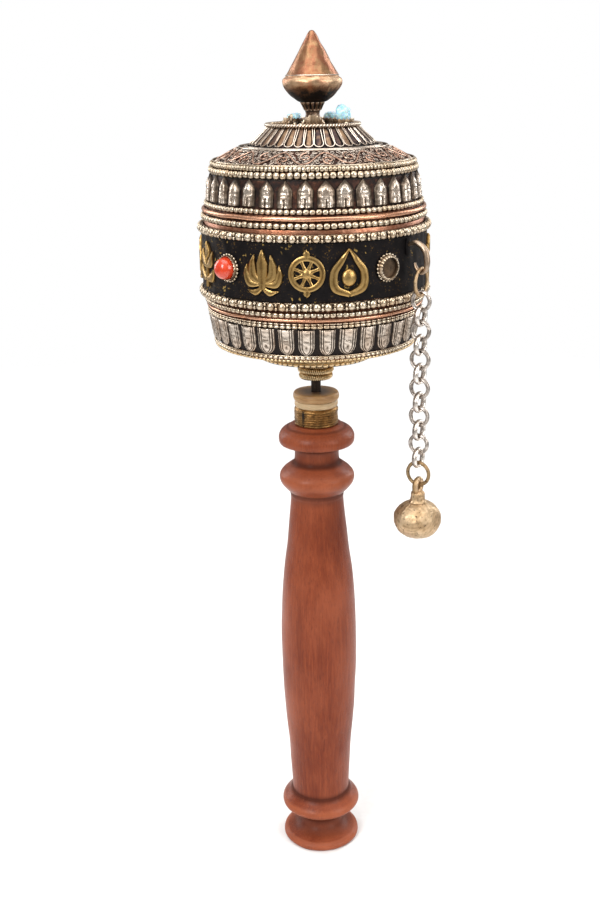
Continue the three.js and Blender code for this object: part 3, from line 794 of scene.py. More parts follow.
def make_drum_shell():
    flare = [(33.5, 206.6), (33.6, 209.2), (36.1, 218.6), (36.1, 222.2)]
    flare += [(36.9, 222.6), (36.9, 224.4), (37.9, 226)]
    collar = [(37.9, 250.5), (34.9, 250.5), (34.9, 256)]
    inside = [(34.1, 256), (34.1, 249.7), (37.1, 249.7)]
    back = [(radius - SHEET, height) for radius, height in reversed(flare)]
    outline = fine(eased([*flare, *collar, *inside, *back, flare[0]], 0.3, 3)[:-1], 1.2)
    # Painted shade: the wall behind the lower petals gets a low relief.
    shade_behind_petals = (outline[:, 1] > 208.8) & (outline[:, 1] < 219)
    shape = turned(Shape(), outline, ROUND_FINE, np.where(shade_behind_petals, 0.1, 0.55), (0.08, 7), "wall")
    piece("copper_wall", shape, METALS["copper"], "drum_wall")


def make_base():
    edge, hub, top = turned_span("base_plate")
    plate = top - SHEET
    rings = [(31.2, 0.35), (26.4, 0.5), (23.6, 0.35)]
    under = []
    for radius, half in rings:
        under += [tuple(p) for p in arc((radius, plate + 0.1), (half, half + 0.1), 0, -180, 7)]
    outline = [(edge, plate), *under, (20.0, plate), (20.6, hub + 1.6), (20.6, hub + 0.3), (20.3, hub)]
    outline += [(17.2, hub), (16.8, hub + 0.35), (9.2, hub + 0.35), (8.8, hub), (3.6, hub)]
    outline += [(3.6, hub + SHEET), (19.2, hub + SHEET), (19.2, top), (edge, top)]
    shape = turned(Shape(), fine(outline, 1.0), ROUND_FINE, None, (0.05, 6), "base")
    beaded_wire(shape, "hub_beads", 62, 20.95, hub + 0.75, 1.4, 1.4)
    piece("stepped_base", shape, METALS["pale_brass"], "base_plate")


def make_boss():
    _, foot, top = turned_span("boss")
    shape = turned(Shape(), [(2.0, foot + 0.3), (4.9, foot + 0.3), (5.6, top), (2.0, top)], 48, 0.3)
    for radius, rise, half, turns in ((5.0, 1.35, 1.15, 26), (5.35, 3.6, 1.2, 28), (5.5, 5.95, 1.25, 30)):
        rope_ring(shape, radius, foot + rise, half, turns)
    ring_wire(shape, 5.3, foot + 8.0, 0.75, columns=64)
    piece("rope_boss", shape, METALS["pale_brass"], "boss")


def make_core():
    radius, foot, top = turned_span("core_tube")
    step_height = SHOULDER + 0.1
    outline = [(2.0, foot), (radius, foot), (radius, top), (1.6, top), (1.6, step_height), (2.0, step_height)]
    outline = eased([*outline, outline[0]], 0.2, 3)[:-1]
    shape = turned(Shape(), fine(outline, 3), 40, dents=(0.03, 4), name="core")
    piece("bearing_tube", shape, METALS["brass"], "core_tube")


def make_scroll():
    edge, foot, top = turned_span("prayer_scroll")
    hole = 3.9
    outline = [(hole, foot), (edge, foot), (edge, top)]
    relief = [0.6, 0.6, 0.6]
    turns = 44
    pitch = (edge - hole) / turns
    for i in range(turns):
        radius = edge - pitch * (i + 0.5)
        outline += [(radius + pitch * 0.3, top - 0.05), (radius - pitch * 0.3, top - 0.05)]
        outline.append((radius - pitch * 0.5, top - 0.5))
        # Each turn is high at its edge and low at the groove beside it, which the paper paints as shade.
        relief += [0.8, 0.8, 0.1]
    outline.append((hole, top - 0.2))
    relief.append(0.6)
    shape = turned(Shape(), outline, ROUND_TURNED, np.array(relief), (0.05, 9), "scroll")
    piece("rolled_scroll", shape, PAPER, "prayer_scroll")


def make_band():
    radius, foot, top = turned_span("painted_band")
    inside = 38.05
    rows = 40
    outer = np.stack([np.full(rows, radius - 0.12), np.linspace(foot, top, rows)], -1)
    outline = np.concatenate([outer, [(inside, top), (inside, foot)]])
    shape = turned(Shape(), outline, 360, 0.5, (0.10, 5), "band")
    piece("lacquer_band", shape, LACQUER, "painted_band")


def simple_beads(node):
    """A row of upright oval beads in the place of a CAD ring."""
    reach, height, thick = ring_of(node)
    shape = beaded_wire(Shape(), node, BEADS[node], reach, height, thick * 0.95, thick * 1.15)
    piece(node.replace("_ring", "_row"), shape, METALS["bead"], node)


def stacked_beads(node):
    """A row of beads with a row of smaller ones above it."""
    reach, height, thick = ring_of(node)
    shape = beaded_wire(Shape(), node, BEADS[node], reach, height - thick * 0.2, thick * 0.9, thick * 0.78)
    beaded_wire(shape, node, BEADS[node], reach - 0.05, height + thick * 0.38, thick * 0.7, thick * 0.42)
    piece(node.replace("_ring", "_row"), shape, METALS["bead"], node)


def make_big_beads(node):
    """Large beads, each pair parted by two small ones, one above the other."""
    reach, height, thick = ring_of(node)
    dice = dice_for(node)
    shape = Shape()
    wide = 2 * math.pi * (reach - thick / 2) / BIG_BEADS
    for i in range(BIG_BEADS):
        big = outward(360 * (i + dice.uniform(-0.04, 0.04)) / BIG_BEADS)
        sizes = np.array([wide * 0.385, thick * 0.485, thick * 0.53]) * dice.uniform(0.95, 1.0, 3)
        add_bead(shape, big * (reach - thick / 2) + [0, 0, height], big, sizes)
        small = outward(360 * (i + 0.5 + dice.uniform(-0.03, 0.03)) / BIG_BEADS)
        for rise in (-0.25, 0.25):
            sizes = np.array([0.5, 0.6, 0.62]) * dice.uniform(0.92, 1.06, 3)
            add_bead(shape, small * (reach - thick * 0.36) + [0, 0, height + rise * thick], small, sizes)
    # The wire behind the beads gets a low relief: painted shade between them.
    ring_wire(shape, reach - thick * 0.68, height, thick * 0.28, relief=0.15)
    for rise in (0.36, -0.36):
        ring_wire(shape, reach - thick * 0.75, height + thick * rise, thick * 0.13, relief=0.5)
    piece(node.replace("_ring", "_row"), shape, METALS["bead"], node)


def add_bead(shape, middle, out, sizes):
    """One bead; sizes are its half width, half depth and half height."""
    aside = np.array([-out[1], out[0], 0])
    local = BALL_POINTS * [sizes[0], sizes[1], 1]
    points = middle + np.outer(local[:, 0], aside) + np.outer(local[:, 1], out)
    points[:, 2] += BALL_POINTS[:, 2] * sizes[2]
    sideways, outwards, upwards = BALL_POINTS.T
    # Painted light: the bead is lighter on top and in front, and darker at its sides, underneath and behind.
    shine = 1.0 - 0.55 * sideways ** 2 - 0.35 * np.clip(-upwards, 0, 1) - 0.8 * (outwards < 0)
    shape.add(points, [part.copy() for part in BALL_FACES], shine)


def make_copper_wire(node, share, splice):
    """A copper wire that fills a share of its CAD ring, with its ends meeting at an azimuth."""
    reach, height, thick = ring_of(node)
    half = thick / 2
    azimuth = np.linspace(0, 2 * math.pi, ROUND_FINE * 2, endpoint=False)
    uneven = 0.06 * lumps(spin(reach, azimuth, height), 9, node)
    path = spin(reach - half * 0.9, azimuth, height + uneven)
    seam = np.abs((np.degrees(azimuth) + 180 - splice) % 360 - 180)
    radius = half * share * (1 - 0.6 * np.exp(-((seam / 0.8) ** 2)))
    shape = tube(Shape(), path, radius, outward(np.degrees(azimuth)), 12, True, 1.0, 0.9)
    piece(node.replace("_wire", "_strand"), shape, METALS["copper"], node)


def make_rim_row():
    """The drum's lower edge: a row of bright oval beads over a row of small brassy ones."""
    reach, height, thick = ring_of("base_rim_ring")
    upper = beaded_wire(Shape(), "rim_upper", 119, reach, height + thick * 0.23, thick * 0.52, thick * 0.52)
    ring_wire(upper, reach - 0.5, height + thick * 0.52, 0.18)
    piece("base_rim_upper_row", upper, METALS["bead"], "base_rim_ring")
    lower_height = height - thick * 0.24
    lower = beaded_wire(Shape(), "rim_lower", 150, reach - 0.3, lower_height, thick * 0.45, thick * 0.42)
    piece("base_rim_lower_row", lower, METALS["pale_brass"], "base_rim_ring", replaces=False)


# ---- Petal bands ----------------------------------------------------------------------------------


def petal_band(name, node, foot, top, petals, form):
    """A band beaten into petals. form gives the height and relief from a petal's own coordinates."""
    dice = dice_for(name)
    rows = 64
    columns = petals * 44
    back = 0.5
    across = np.linspace(0, petals, columns, endpoint=False)[None, :]
    up = np.linspace(0, 1, rows)[:, None]
    which = np.floor(across).astype(int)
    shift = dice.uniform(-0.035, 0.035, petals)[which]
    swell = dice.uniform(0.88, 1.06, petals)[which]
    lean = dice.uniform(-0.05, 0.05, petals)[which]
    aside = (across - which - 0.5 + shift + lean * (up - 0.5)) / swell
    lift, relief = form(aside, up + dice.uniform(-0.02, 0.02, petals)[which])
    slope = np.array([top[0] - foot[0], top[1] - foot[1]])
    slope /= np.linalg.norm(slope)
    normal = np.array([slope[1], -slope[0]])
    azimuth = across / petals * 2 * math.pi
    base_radius = foot[0] + (top[0] - foot[0]) * up
    base_height = foot[1] + (top[1] - foot[1]) * up
    outer = spin(base_radius + normal[0] * lift, azimuth + 0 * up, base_height + normal[1] * lift)
    dents = 0.05 * lumps(outer.reshape(-1, 3), 1.6, name).reshape(lift.shape) * step(0.02, 0.2, lift)
    outer = outer + outward(np.degrees(azimuth + 0 * up)) * dents[..., None]
    inner_top = spin(top[0] - back, azimuth[0], np.full(columns, top[1]))
    inner_foot = spin(foot[0] - back, azimuth[0], np.full(columns, foot[1]))
    points = np.concatenate([outer.reshape(-1, 3), inner_top, inner_foot])
    # Dents that stand out raise the relief a little, a painted highlight.
    levels = np.concatenate([(relief + 1.2 * dents).ravel(), np.zeros(2 * columns)])
    shape = Shape().add(points, loop_grid(rows + 2, columns, rows_close=True), levels)
    piece(name, shape, METALS["silver"], node, sharp=70)


def upper_petal(aside, up):
    """A petal with a pointed top, bulging, with an inner arch, a knob and two legs parted by a slot."""
    x = np.abs(aside)
    width = 0.445 * (1 - np.clip((up - 0.60) / 0.38, 0, 1) ** 1.35)
    inside = width - x
    bulge = np.sqrt(np.clip(1 - (x / np.maximum(width, 0.02)) ** 2, 0, 1)) * (0.3 + 0.7 * width / 0.445)
    inner_width = 0.25 * np.sqrt(1 - np.clip((up - 0.46) / 0.36, 0, 1) ** 2)
    figure = 0.16 * step(0.0, 0.05, inner_width - x)
    knob = 0.2 * np.exp(-((x / 0.10) ** 2 + ((up - 0.66) / 0.07) ** 2))
    slot = -0.5 * np.exp(-((x / 0.05) ** 2)) * step(0.38, 0.30, up)
    waist = -0.14 * np.exp(-(((up - 0.43) / 0.025) ** 2)) * step(0.27, 0.22, x)
    edge = 0.1 * np.exp(-(((inside - 0.03) / 0.02) ** 2))
    lift = 0.25 * step(-0.005, 0.02, inside) + 1.05 * bulge + (figure + knob + slot + waist) * bulge + edge
    lift = np.where(inside < -0.005, 0, np.maximum(lift, 0.05)) * step(-0.02, 0.03, up)
    # Painted light: bright on the bulge, the knob and the edge, dark on the sides, in the slot and the waist,
    # and in the gaps between petals.
    relief = 0.88 * bulge ** 1.5 + 1.1 * (figure - 0.08) + 1.4 * knob + 1.5 * slot + 2.0 * waist + 2.5 * edge
    return lift, np.where(inside < 0, 0.05, relief)


def lower_petal(aside, up):
    """A petal with a round foot, a bright lip at its top and narrow grooves nested one inside the next."""
    x = np.abs(aside)
    width = 0.43 * np.sqrt(np.clip(1 - (1 - np.clip((up - 0.02) / 0.34, 0, 1)) ** 2, 0, 1))
    inside = width - x
    bulge = np.sqrt(np.clip(1 - (x / np.maximum(width, 0.02)) ** 2, 0, 1)) * (0.4 + 0.6 * width / 0.43)
    groove = np.exp(-(((inside - 0.095) / 0.026) ** 2)) + 0.8 * np.exp(-(((inside - 0.215) / 0.022) ** 2))
    rim = np.exp(-(((inside - 0.045) / 0.025) ** 2)) + 0.7 * np.exp(-(((inside - 0.155) / 0.03) ** 2))
    lip = 0.16 * np.exp(-(((up - 0.94) / 0.03) ** 2))
    bar = np.exp(-(((up - 0.56) / 0.03) ** 2)) * step(0.16, 0.12, x)
    eye = np.exp(-((x / 0.06) ** 2 + ((up - 0.33) / 0.06) ** 2))
    carved = lip + 0.12 * rim - 0.26 * groove - 0.1 * bar - 0.14 * eye
    lift = 0.25 * step(-0.005, 0.02, inside) + 0.62 * bulge + carved * bulge
    lift = np.where(inside < -0.005, 0, np.maximum(lift, 0.05)) * step(1.0, 0.965, up)
    # Painted light: bright on the bulge, the rims and the lip, dark in the grooves, the bar, the eye and the
    # gaps between petals.
    relief = 0.42 + 0.46 * bulge + 0.24 * rim - 1.05 * groove - 0.4 * bar - 0.5 * eye + 1.5 * lip
    return lift, np.where((inside < 0) | (up > 0.98), 0.03, relief)


def make_petal_bands():
    petal_band("upper_petals", "upper_petal_band", (35.85, 257.0), (34.85, 265.9), UPPER_PETALS, upper_petal)
    petal_band("lower_petals", "lower_petal_band", (35.2, 209.3), (36.75, 218.5), LOWER_PETALS, lower_petal)


# ---- Lid -----------------------------------------------------------------------------------------


class Cone:
    """A cone of the lid between two (radius, height) rings, with places on it given as azimuth and slant."""

    def __init__(self, foot, top):
        self.foot = np.array(foot, float)
        self.way = np.array(top, float) - self.foot
        self.length = np.linalg.norm(self.way)
        self.way /= self.length
        self.normal = np.array([self.way[1], -self.way[0]])

    def points(self, azimuth, slant, lift=0.0):
        """azimuth in radians, slant and lift in millimetres."""
        radius = self.foot[0] + self.way[0] * slant + self.normal[0] * lift
        height = self.foot[1] + self.way[1] * slant + self.normal[1] * lift
        return spin(radius, azimuth, height)

    def normals(self, azimuth):
        flat = outward(np.degrees(azimuth)) * self.normal[0]
        flat[..., 2] += self.normal[1]
        return flat

    def local(self, azimuth, slant, right, up, lift=0.0):
        """Points at flat offsets from a place on the cone, and the azimuths they are at."""
        radius = self.foot[0] + self.way[0] * (slant + up)
        around = azimuth + right / radius
        return self.points(around, slant + up, lift), around


def make_lid_shell():
    _, foot, top = turned_span("lid_shell")
    outside = [(36.8, foot), (36.8, 254.9), (36.0, 254.9), (36.0, 257), (35, 265.3), (33.7, 266.3)]
    outside += [(33.4, 268.4), (24.4, 272.9), (21.5, 273.3), (14.5, top), (2.4, top)]
    inside = [(36.0, foot), (36.0, 254.1), (35.2, 254.1), (35.2, 257), (34.3, 264.7), (32.9, 265.8)]
    inside += [(32.8, 267.8), (24.2, 272.1), (21.1, 272.5), (14.1, top - SHEET), (2.4, top - SHEET)]
    outline = fine(eased([*outside, *inside[::-1], outside[0]], 0.25, 3)[:-1], 1.2)
    # Painted shade: the sheet behind the upper petals gets a low relief.
    relief = np.where((outline[:, 1] > 256.5) & (outline[:, 1] < 266.2), 0.2, 0.5)
    shape = turned(Shape(), outline, ROUND_FINE, relief, (0.05, 6), "lid")
    piece("lid_sheet", shape, METALS["dark_copper"], "lid_shell")


def make_lotus():
    """Convex panels round the upper cone, each edged by a bright wire bent to a U."""
    cone = Cone((22.2, 274.2), (15.5, 280.45))
    pitch = 2 * math.pi / LOTUS_PETALS
    columns_each, rows = 24, 26
    columns = LOTUS_PETALS * columns_each
    across = np.linspace(0, LOTUS_PETALS, columns, endpoint=False)[None, :]
    up = np.linspace(0, 1, rows)[:, None]
    x = np.abs(across - np.floor(across) - 0.5)
    width = 0.44 * np.sqrt(np.clip(1 - (1 - np.clip((up - 0.08) / 0.25, 0, 1)) ** 2, 0, 1))
    inside = width - x
    lift = 0.4 * step(0.0, 0.30, inside)
    outer = cone.points(across / LOTUS_PETALS * 2 * math.pi + 0 * up, up * cone.length, lift - 0.35)
    azimuth = across[0] / LOTUS_PETALS * 2 * math.pi
    back = [cone.points(azimuth, np.full(columns, s), -0.75) for s in (cone.length, 0.0)]
    points = np.concatenate([outer.reshape(-1, 3), *back])
    dice = dice_for("lotus")
    worn = dice.uniform(-0.3, 0.14, LOTUS_PETALS)[np.floor(across).astype(int)]
    # Painted light: raised panels are lighter and the gaps between them darker; worn varies each panel at
    # random.
    relief = np.concatenate([(0.15 + 1.3 * lift + worn).ravel(), np.zeros(2 * columns)])
    shape = Shape().add(points, loop_grid(rows + 2, columns, rows_close=True), relief)
    piece("lotus_petals", shape, METALS["patina"], "lotus_panel", sharp=60)
    wires = Shape()
    for i in range(LOTUS_PETALS):
        middle = (i + 0.5 + dice.uniform(-0.05, 0.05)) * pitch
        turn = np.radians(np.linspace(180, 360, 13))
        half = 0.445 * pitch * 21.2
        legs = np.array([(-half * 0.80, cone.length), (-half * 0.90, cone.length * 0.6)])
        bow = np.stack([half * np.cos(turn), 2.6 + 1.7 * np.sin(turn)], -1)
        flat = smooth([*legs, *bow, *(legs * [-1, 1])[::-1]], 40)
        scale = (cone.foot[0] + cone.way[0] * flat[:, 1]) / 21.2
        path, around = cone.local(middle, 0.0, flat[:, 0] * scale, flat[:, 1], 0.1)
        tube(wires, path, 0.2, cone.normals(around), 6)
    piece("lotus_wires", wires, METALS["silver"], "lotus_panel", replaces=False)


def scroll(cone, shape, azimuth, slant, radius, turns, start, hand, wire, lift=None):
    """One spiral of wire lying on a cone."""
    share = np.linspace(0, 1, 6 + int(13 * turns))
    angle = start + hand * share * turns * 2 * math.pi
    reach = radius * (1 - 0.86 * share)
    right, up = reach * np.cos(angle), reach * np.sin(angle)
    path, around = cone.local(azimuth, slant, right, up, lift or wire * 0.7)
    tube(shape, path, wire * (1 - 0.25 * share), cone.normals(around), 5)


def make_filigree():
    """The lower cone: a sheet covered with small wire scrolls, with a large vine that runs through them."""
    cone = Cone((34.0, 269.25), (25.2, 273.95))
    ledge_inner = 22.4
    slope = [(33.6, 268.9), (34.0, 269.2), (25.2, 273.9)]
    ledge = [(ledge_inner, 273.95), (ledge_inner, 273.5), (24.5, 273.3)]
    outline = fine([*slope, *ledge, slope[0]], 0.8)[:-1]
    sheet = turned(Shape(), outline, ROUND_FINE, 0.22, (0.05, 3), "filigree_sheet")
    piece("filigree_sheet", sheet, METALS["dark_copper"], "filigree_panel")
    dice = dice_for("filigree")
    pitch = 2 * math.pi / SCROLLS
    wires = Shape()
    for row, slant in enumerate((1.15, 3.05, 4.95, 6.85, 8.75)):
        for i in range(SCROLLS):
            azimuth = (i + 0.5 * (row % 2) + dice.uniform(-0.18, 0.18)) * pitch
            hand = dice.choice([-1, 1])
            size = (1.12 - 0.04 * row) * dice.uniform(0.82, 1.12)
            turns = dice.uniform(1.2, 1.7)
            place = slant + dice.uniform(-0.25, 0.25)
            start = dice.uniform(0, 6.28)
            scroll(cone, wires, azimuth, place, size, turns, start, hand, 0.15)
    piece("filigree_scrolls", wires, METALS["filigree"], "filigree_panel", replaces=False)
    vines = Shape()
    around = np.linspace(0, 2 * math.pi, VINE_WAVES * 48, endpoint=False)
    middle = 4.95
    wave = middle + 3.3 * np.sin(around * VINE_WAVES)
    tube(vines, cone.points(around, wave, 0.34), 0.24, cone.normals(around), 6, True)
    for i in range(2 * VINE_WAVES):
        side = 1 if i % 2 else -1
        azimuth = (i + 0.5) * math.pi / VINE_WAVES
        start = 0.5 * math.pi * side
        scroll(cone, vines, azimuth + 0.03, middle + side * 0.9, 2.3, 1.2, start, side, 0.2, 0.36)
    piece("filigree_vines", vines, METALS["rosy"], "filigree_panel", replaces=False)
    rims = Shape()
    rings = [(25.2, 274.1, 0.32, 0.8), (23.3, 274.15, 0.36, 0.9), (22.6, 274.3, 0.26, 0.8)]
    for radius, height, half, relief in rings:
        ring_wire(rims, radius, height, half, relief)
    piece("ledge_wires", rims, METALS["silver"], "filigree_panel", replaces=False)


def make_lid_rings():
    reach, height, thick = ring_of("rim_braid_ring")
    braid = beaded_wire(Shape(), "rim_braid", 156, reach, height - 0.3, thick, thick * 1.45, 0.55, 14, 8)
    ring_wire(braid, reach - thick * 0.85, height + thick * 0.55, thick * 0.2, 0.9)
    piece("rim_braid", braid, METALS["bead"], "rim_braid_ring")
    reach, height, thick = ring_of("crown_ring")
    crown = rope_ring(Shape(), reach - thick / 2, height, thick / 2, 46)
    ring_wire(crown, reach - thick * 1.1, height + 0.1, thick * 0.3, 0.9)
    piece("crown_rope", crown, METALS["pale"], "crown_ring")
    for node in ("rim_bead_ring", "lid_bead_ring_upper", "lid_bead_ring_lower"):
        simple_beads(node)
    make_copper_wire("lid_copper_wire", 0.92, LID_SPLICE)


# ---- Finial --------------------------------------------------------------------------------------


def make_neck():
    foot, top = (corner[2] for corner in span("finial_neck"))
    flare = smooth([(4.1, foot), (3.3, foot + 0.5), (2.55, foot + 1.6), (2.35, 284.4), (2.5, 285.4)], 20)
    ribs = [(2.9, 285.6), (3.15, 286.0), (3.6, 287.0), (4.15, 287.9), (4.2, top)]
    outline = [(FINIAL_BORE, foot), *flare, *fine(ribs, 0.3), (FINIAL_BORE, top)]
    shape = turned(Shape(), outline, 112, dents=(0.03, 3), name="neck")
    points = shape.points[0]
    azimuth = np.arctan2(points[:, 0], -points[:, 1])
    groove = step(285.5, 286.0, points[:, 2]) * (0.5 - 0.5 * np.cos(14 * azimuth)) ** 2
    points[:, :2] *= (1 - 0.16 * groove * (np.hypot(points[:, 0], points[:, 1]) > 2))[:, None]
    # Painted shade in the flutes.
    shape.relief[0] = np.clip(shape.relief[0] - 0.75 * groove, 0, 1)
    piece("bell_neck", shape, METALS["neck"], "finial_neck")


def make_bowl():
    """The bowl under the cone, dark towards its foot."""
    _, foot, top = turned_span("finial_bowl")
    bowl = [(4.4, foot), (5.3, foot + 0.4), (7.0, 290.0), (8.8, 291.9), (9.9, 293.6), (10.15, 294.6)]
    rim = smooth([(10.15, 295.0), (9.95, 295.6), (9.4, 296.1), (9.1, 296.3)], 12)
    socket = [(0, 292.5), (FINIAL_BORE, 292.5), (FINIAL_BORE, foot), (3.9, foot)]
    outline = np.array([*socket, *smooth(bowl, 26), *rim, (8.9, top), (0, top)])
    relief = np.clip((outline[:, 1] - 291.2) / 3.8, 0.02, 0.8)
    shape = turned(Shape(), outline, ROUND_TURNED, relief, (0.1, 4), "bowl")
    piece("spun_bowl", shape, METALS["bowl"], "finial_bowl")


def make_cone():
    _, foot, top = turned_span("finial_cone")
    side = smooth([(8.8, foot + 0.25), (7.4, 299.2), (5.2, 303.2), (2.9, 307.3), (1.5, 309.8)], 30)
    tip = [(1.15, 310.3), (0.75, 310.75), (0.35, top - 0.05), (0, top)]
    outline = [(0, foot), (8.5, foot), (8.78, foot + 0.1), *side, *tip]
    shape = turned(Shape(), outline, ROUND_TURNED, 0.64, (0.07, 3), "cone")
    piece("hammered_cone", shape, METALS["cone"], "finial_cone")
    bead = [(8.2, foot - 0.1), (8.95, foot - 0.1), (9.1, foot + 0.15), (8.75, foot + 0.4), (8.2, foot + 0.3)]
    seam = turned(Shape(), bead, ROUND_TURNED, 0.95, (0.08, 3.5), "solder")
    piece("solder_line", seam, METALS["silver"], "finial_cone", replaces=False)


# ---- Stones and settings --------------------------------------------------------------------------


def bezel(shape, inside, outside, depth, teeth, floor):
    """A cup in flat coordinates with its mouth towards +out: serrated lip, beaded foot."""
    columns = teeth * 8
    azimuth = np.linspace(0, 2 * math.pi, columns, endpoint=False)
    bite = 0.5 + 0.5 * np.cos(azimuth * teeth)
    # Painted light: the last value in each row lifts the relief, so the lip is lighter and the floor of the
    # cup darker.
    rows = [(0.05, 0.0, 0), (outside - 0.25, 0.0, 0), (outside, 0.25, 0), (outside - 0.15, depth * 0.6, 0.2),
            (inside + 0.18, depth - 0.2, 0.9), (inside + 0.02, depth - 0.25, 1.0), (inside, depth * 0.5, 0.3),
            (inside, floor, 0), (0.05, floor, 0)]
    points = []
    relief = []
    for radius, out, share in rows:
        height = out + share * 0.45 * (bite - 0.5)
        points.append(np.stack([radius * np.cos(azimuth), radius * np.sin(azimuth), height], -1))
        relief.append(np.clip(0.25 + 0.6 * share + share * 0.35 * (bite - 0.5), 0, 1) + 0 * azimuth)
    shape.add(np.concatenate(points), loop_grid(len(rows), columns, rows_close=True), np.concatenate(relief))
    for i in range(teeth):
        angle = 2 * math.pi * i / teeth
        middle = np.array([(outside - 0.05) * math.cos(angle), (outside - 0.05) * math.sin(angle), 0.42])
        local = BALL_POINTS * 0.46
        # Painted light: each bead of the foot is lighter on the side facing out.
        shape.add(middle + local, [part.copy() for part in BALL_FACES], 0.55 + 0.45 * BALL_POINTS[:, 2])
    return shape


def make_band_stones():
    teeth = 22
    for number, azimuth in STONE_AZIMUTHS.items():
        node = f"band_setting_{number}"
        low, high = span(node)
        height = (low[2] + high[2]) / 2
        seat = 39.2
        outer = (high[2] - low[2]) / 2
        place = facing(outward(azimuth) * seat + [0, 0, height], outward(azimuth))
        inside = 3.35 if number == EMPTY_SETTING else 3.9
        cup = bezel(Shape(), inside, outer - 0.35, 2.0, teeth, 0.35).moved(place)
        piece(f"serrated_bezel_{number}", cup, METALS["bead"], node)
        if number == EMPTY_SETTING:
            continue
        dome = smooth([(3.6, 0.1), (3.62, 1.0), (3.3, 2.5), (2.5, 3.6), (1.35, 4.25), (0.35, 4.42)], 18)
        outline = [(0, 0), (3.4, 0), *dome, (0, 4.44)]
        bead = turned(Shape(), outline, 48, 0.7, (0.02, 4), f"coral_{number}")
        bead.moved(facing(outward(azimuth) * (seat + 1.0) + [0, 0, height], outward(azimuth)))
        piece(f"coral_cabochon_{number}", bead, CORAL, f"coral_{number}")


def make_crown_collars():
    low, high = span("crown_settings")
    foot, plate = low[2], low[2] + 0.4
    ring = [(5.2, foot), (14.2, foot), (14.2, plate), (5.2, plate), (5.2, foot)]
    shape = turned(Shape(), eased(ring, 0.15)[:-1], 96, 0.25, (0.05, 3), "crown_plate")
    for azimuth in CROWN_SETTINGS:
        crushed = azimuth in (CROWN_SETTINGS[0], CROWN_SETTINGS[-1])
        peaked_collar(shape, azimuth, foot, high[2] - foot, crushed)
    for i in range(10):
        out = outward(36 * i + 18)
        reach = 13.4 if i % 2 else 7.4
        add_bead(shape, out * reach + [0, 0, plate + 0.3], out, np.array([0.9, 0.9, 0.7]))
    piece("peaked_collars", shape, METALS["collar"], "crown_settings")


def make_turquoises():
    """Three blocky, unpolished chips."""
    template, faces = ball_template(32, 22)
    for number in (1, 2, 3):
        node = f"turquoise_{number}"
        low, high = span(node)
        centre, half = (low + high) / 2, (high - low) / 2
        rough = 0.92 + 0.10 * lumps(template, 1.1, node) + 0.05 * lumps(template, 0.45, node + "fine")
        boxy = template / np.maximum(np.abs(template).max(1), 1e-9)[:, None]
        blocky = template * 0.66 + boxy * 0.30
        chip = Shape().add(centre + blocky * half * rough[:, None], faces, 0.7)
        piece(f"turquoise_chip_{number}", chip, TURQUOISE, node, sharp=60)


def peaked_collar(shape, place, foot, height, crushed):
    """A thin serrated collar; a crushed one is beaten down, with a peak left on the side of the axis."""
    outside = 3.75
    teeth = 18
    azimuth = np.linspace(0, 2 * math.pi, teeth * 8, endpoint=False)
    tooth = np.abs(np.cos(azimuth * teeth / 2)) ** 1.3
    inward = np.clip(-np.cos(azimuth - math.radians(place)), 0, 1)
    share = 0.45 + 0.35 * inward if crushed else 1 + 0 * azimuth
    peak = 2.0 * inward ** 1.6 if crushed else 0 * azimuth
    rows = [(outside, 0.0, 0.1, 0), (outside - 0.15, 0.4, 0.25, 0.3), (outside + 0.05, 0.72, 0.95, 1),
            (outside - 0.3, 0.68, 0.9, 1), (outside - 0.5, 0.0, 0.1, 0)]
    points = []
    relief = []
    for radius, level, shine, tip in rows:
        rise = foot + height * level * share + tip * (0.5 * tooth + peak)
        points.append(spin(radius - 0.5 * tip * peak / 2.0, azimuth, rise) + outward(place) * CROWN_RADIUS)
        # Painted light: the collar's top is lighter and it darkens between the teeth.
        relief.append(shine - 0.25 * (1 - tooth) * tip + 0 * azimuth)
    faces = loop_grid(len(rows), len(azimuth), rows_close=True)
    shape.add(np.concatenate(points), faces, np.concatenate(relief))


# ---- Ornaments on the painted band ------------------------------------------------------------------


def stroke(shape, points, widths, height=0.95, count=34):
    """A raised, tapering stroke in flat coordinates, domed across."""
    path = smooth(points, count)
    half = np.interp(np.linspace(0, 1, count), np.linspace(0, 1, len(widths)), widths) / 2
    tangent = np.gradient(path, axis=0)
    tangent /= np.linalg.norm(tangent, axis=1)[:, None]
    side = np.stack([-tangent[:, 1], tangent[:, 0]], -1)
    section = [(-1, -0.3), (-1, 0.45), (-0.86, 0.8), (-0.45, 1.0), (0, 0.92)]
    section += [(-aside, rise) for aside, rise in reversed(section[:-1])]
    # Painted light: bright on the shoulders of the stroke, dimmer along its slightly hollow middle, dark at
    # its foot.
    shine = [0.1, 0.45, 1.0, 0.85, 0.42, 0.85, 1.0, 0.45, 0.1]
    rings = []
    levels = []
    for (aside, rise), level in zip(section, shine):
        flat = path + side * (half * aside)[:, None]
        up = height * rise * np.minimum(1, 0.35 + half / 0.9) if rise > 0 else np.full(count, height * rise)
        rings.append(np.column_stack([flat, up]))
        levels.append(np.full(count, level))
    points = np.stack(rings, 1).reshape(-1, 3)
    relief = np.stack(levels, 1).ravel()
    sides = len(section)
    ends = [points[:sides].mean(0), points[-sides:].mean(0)]
    faces = [loop_grid(count, sides), *end_fans(count, sides)]
    shape.add(np.concatenate([points, ends]), faces, np.concatenate([relief, [0.7, 0.7]]))
    return shape


def on_side(side, *points):
    """Points given for the right, sent to the left if side is -1."""
    return [(side * x, y) for x, y in points]


# Every ornament takes flip, 1 or -1, and the ones that are the same both ways ignore it.


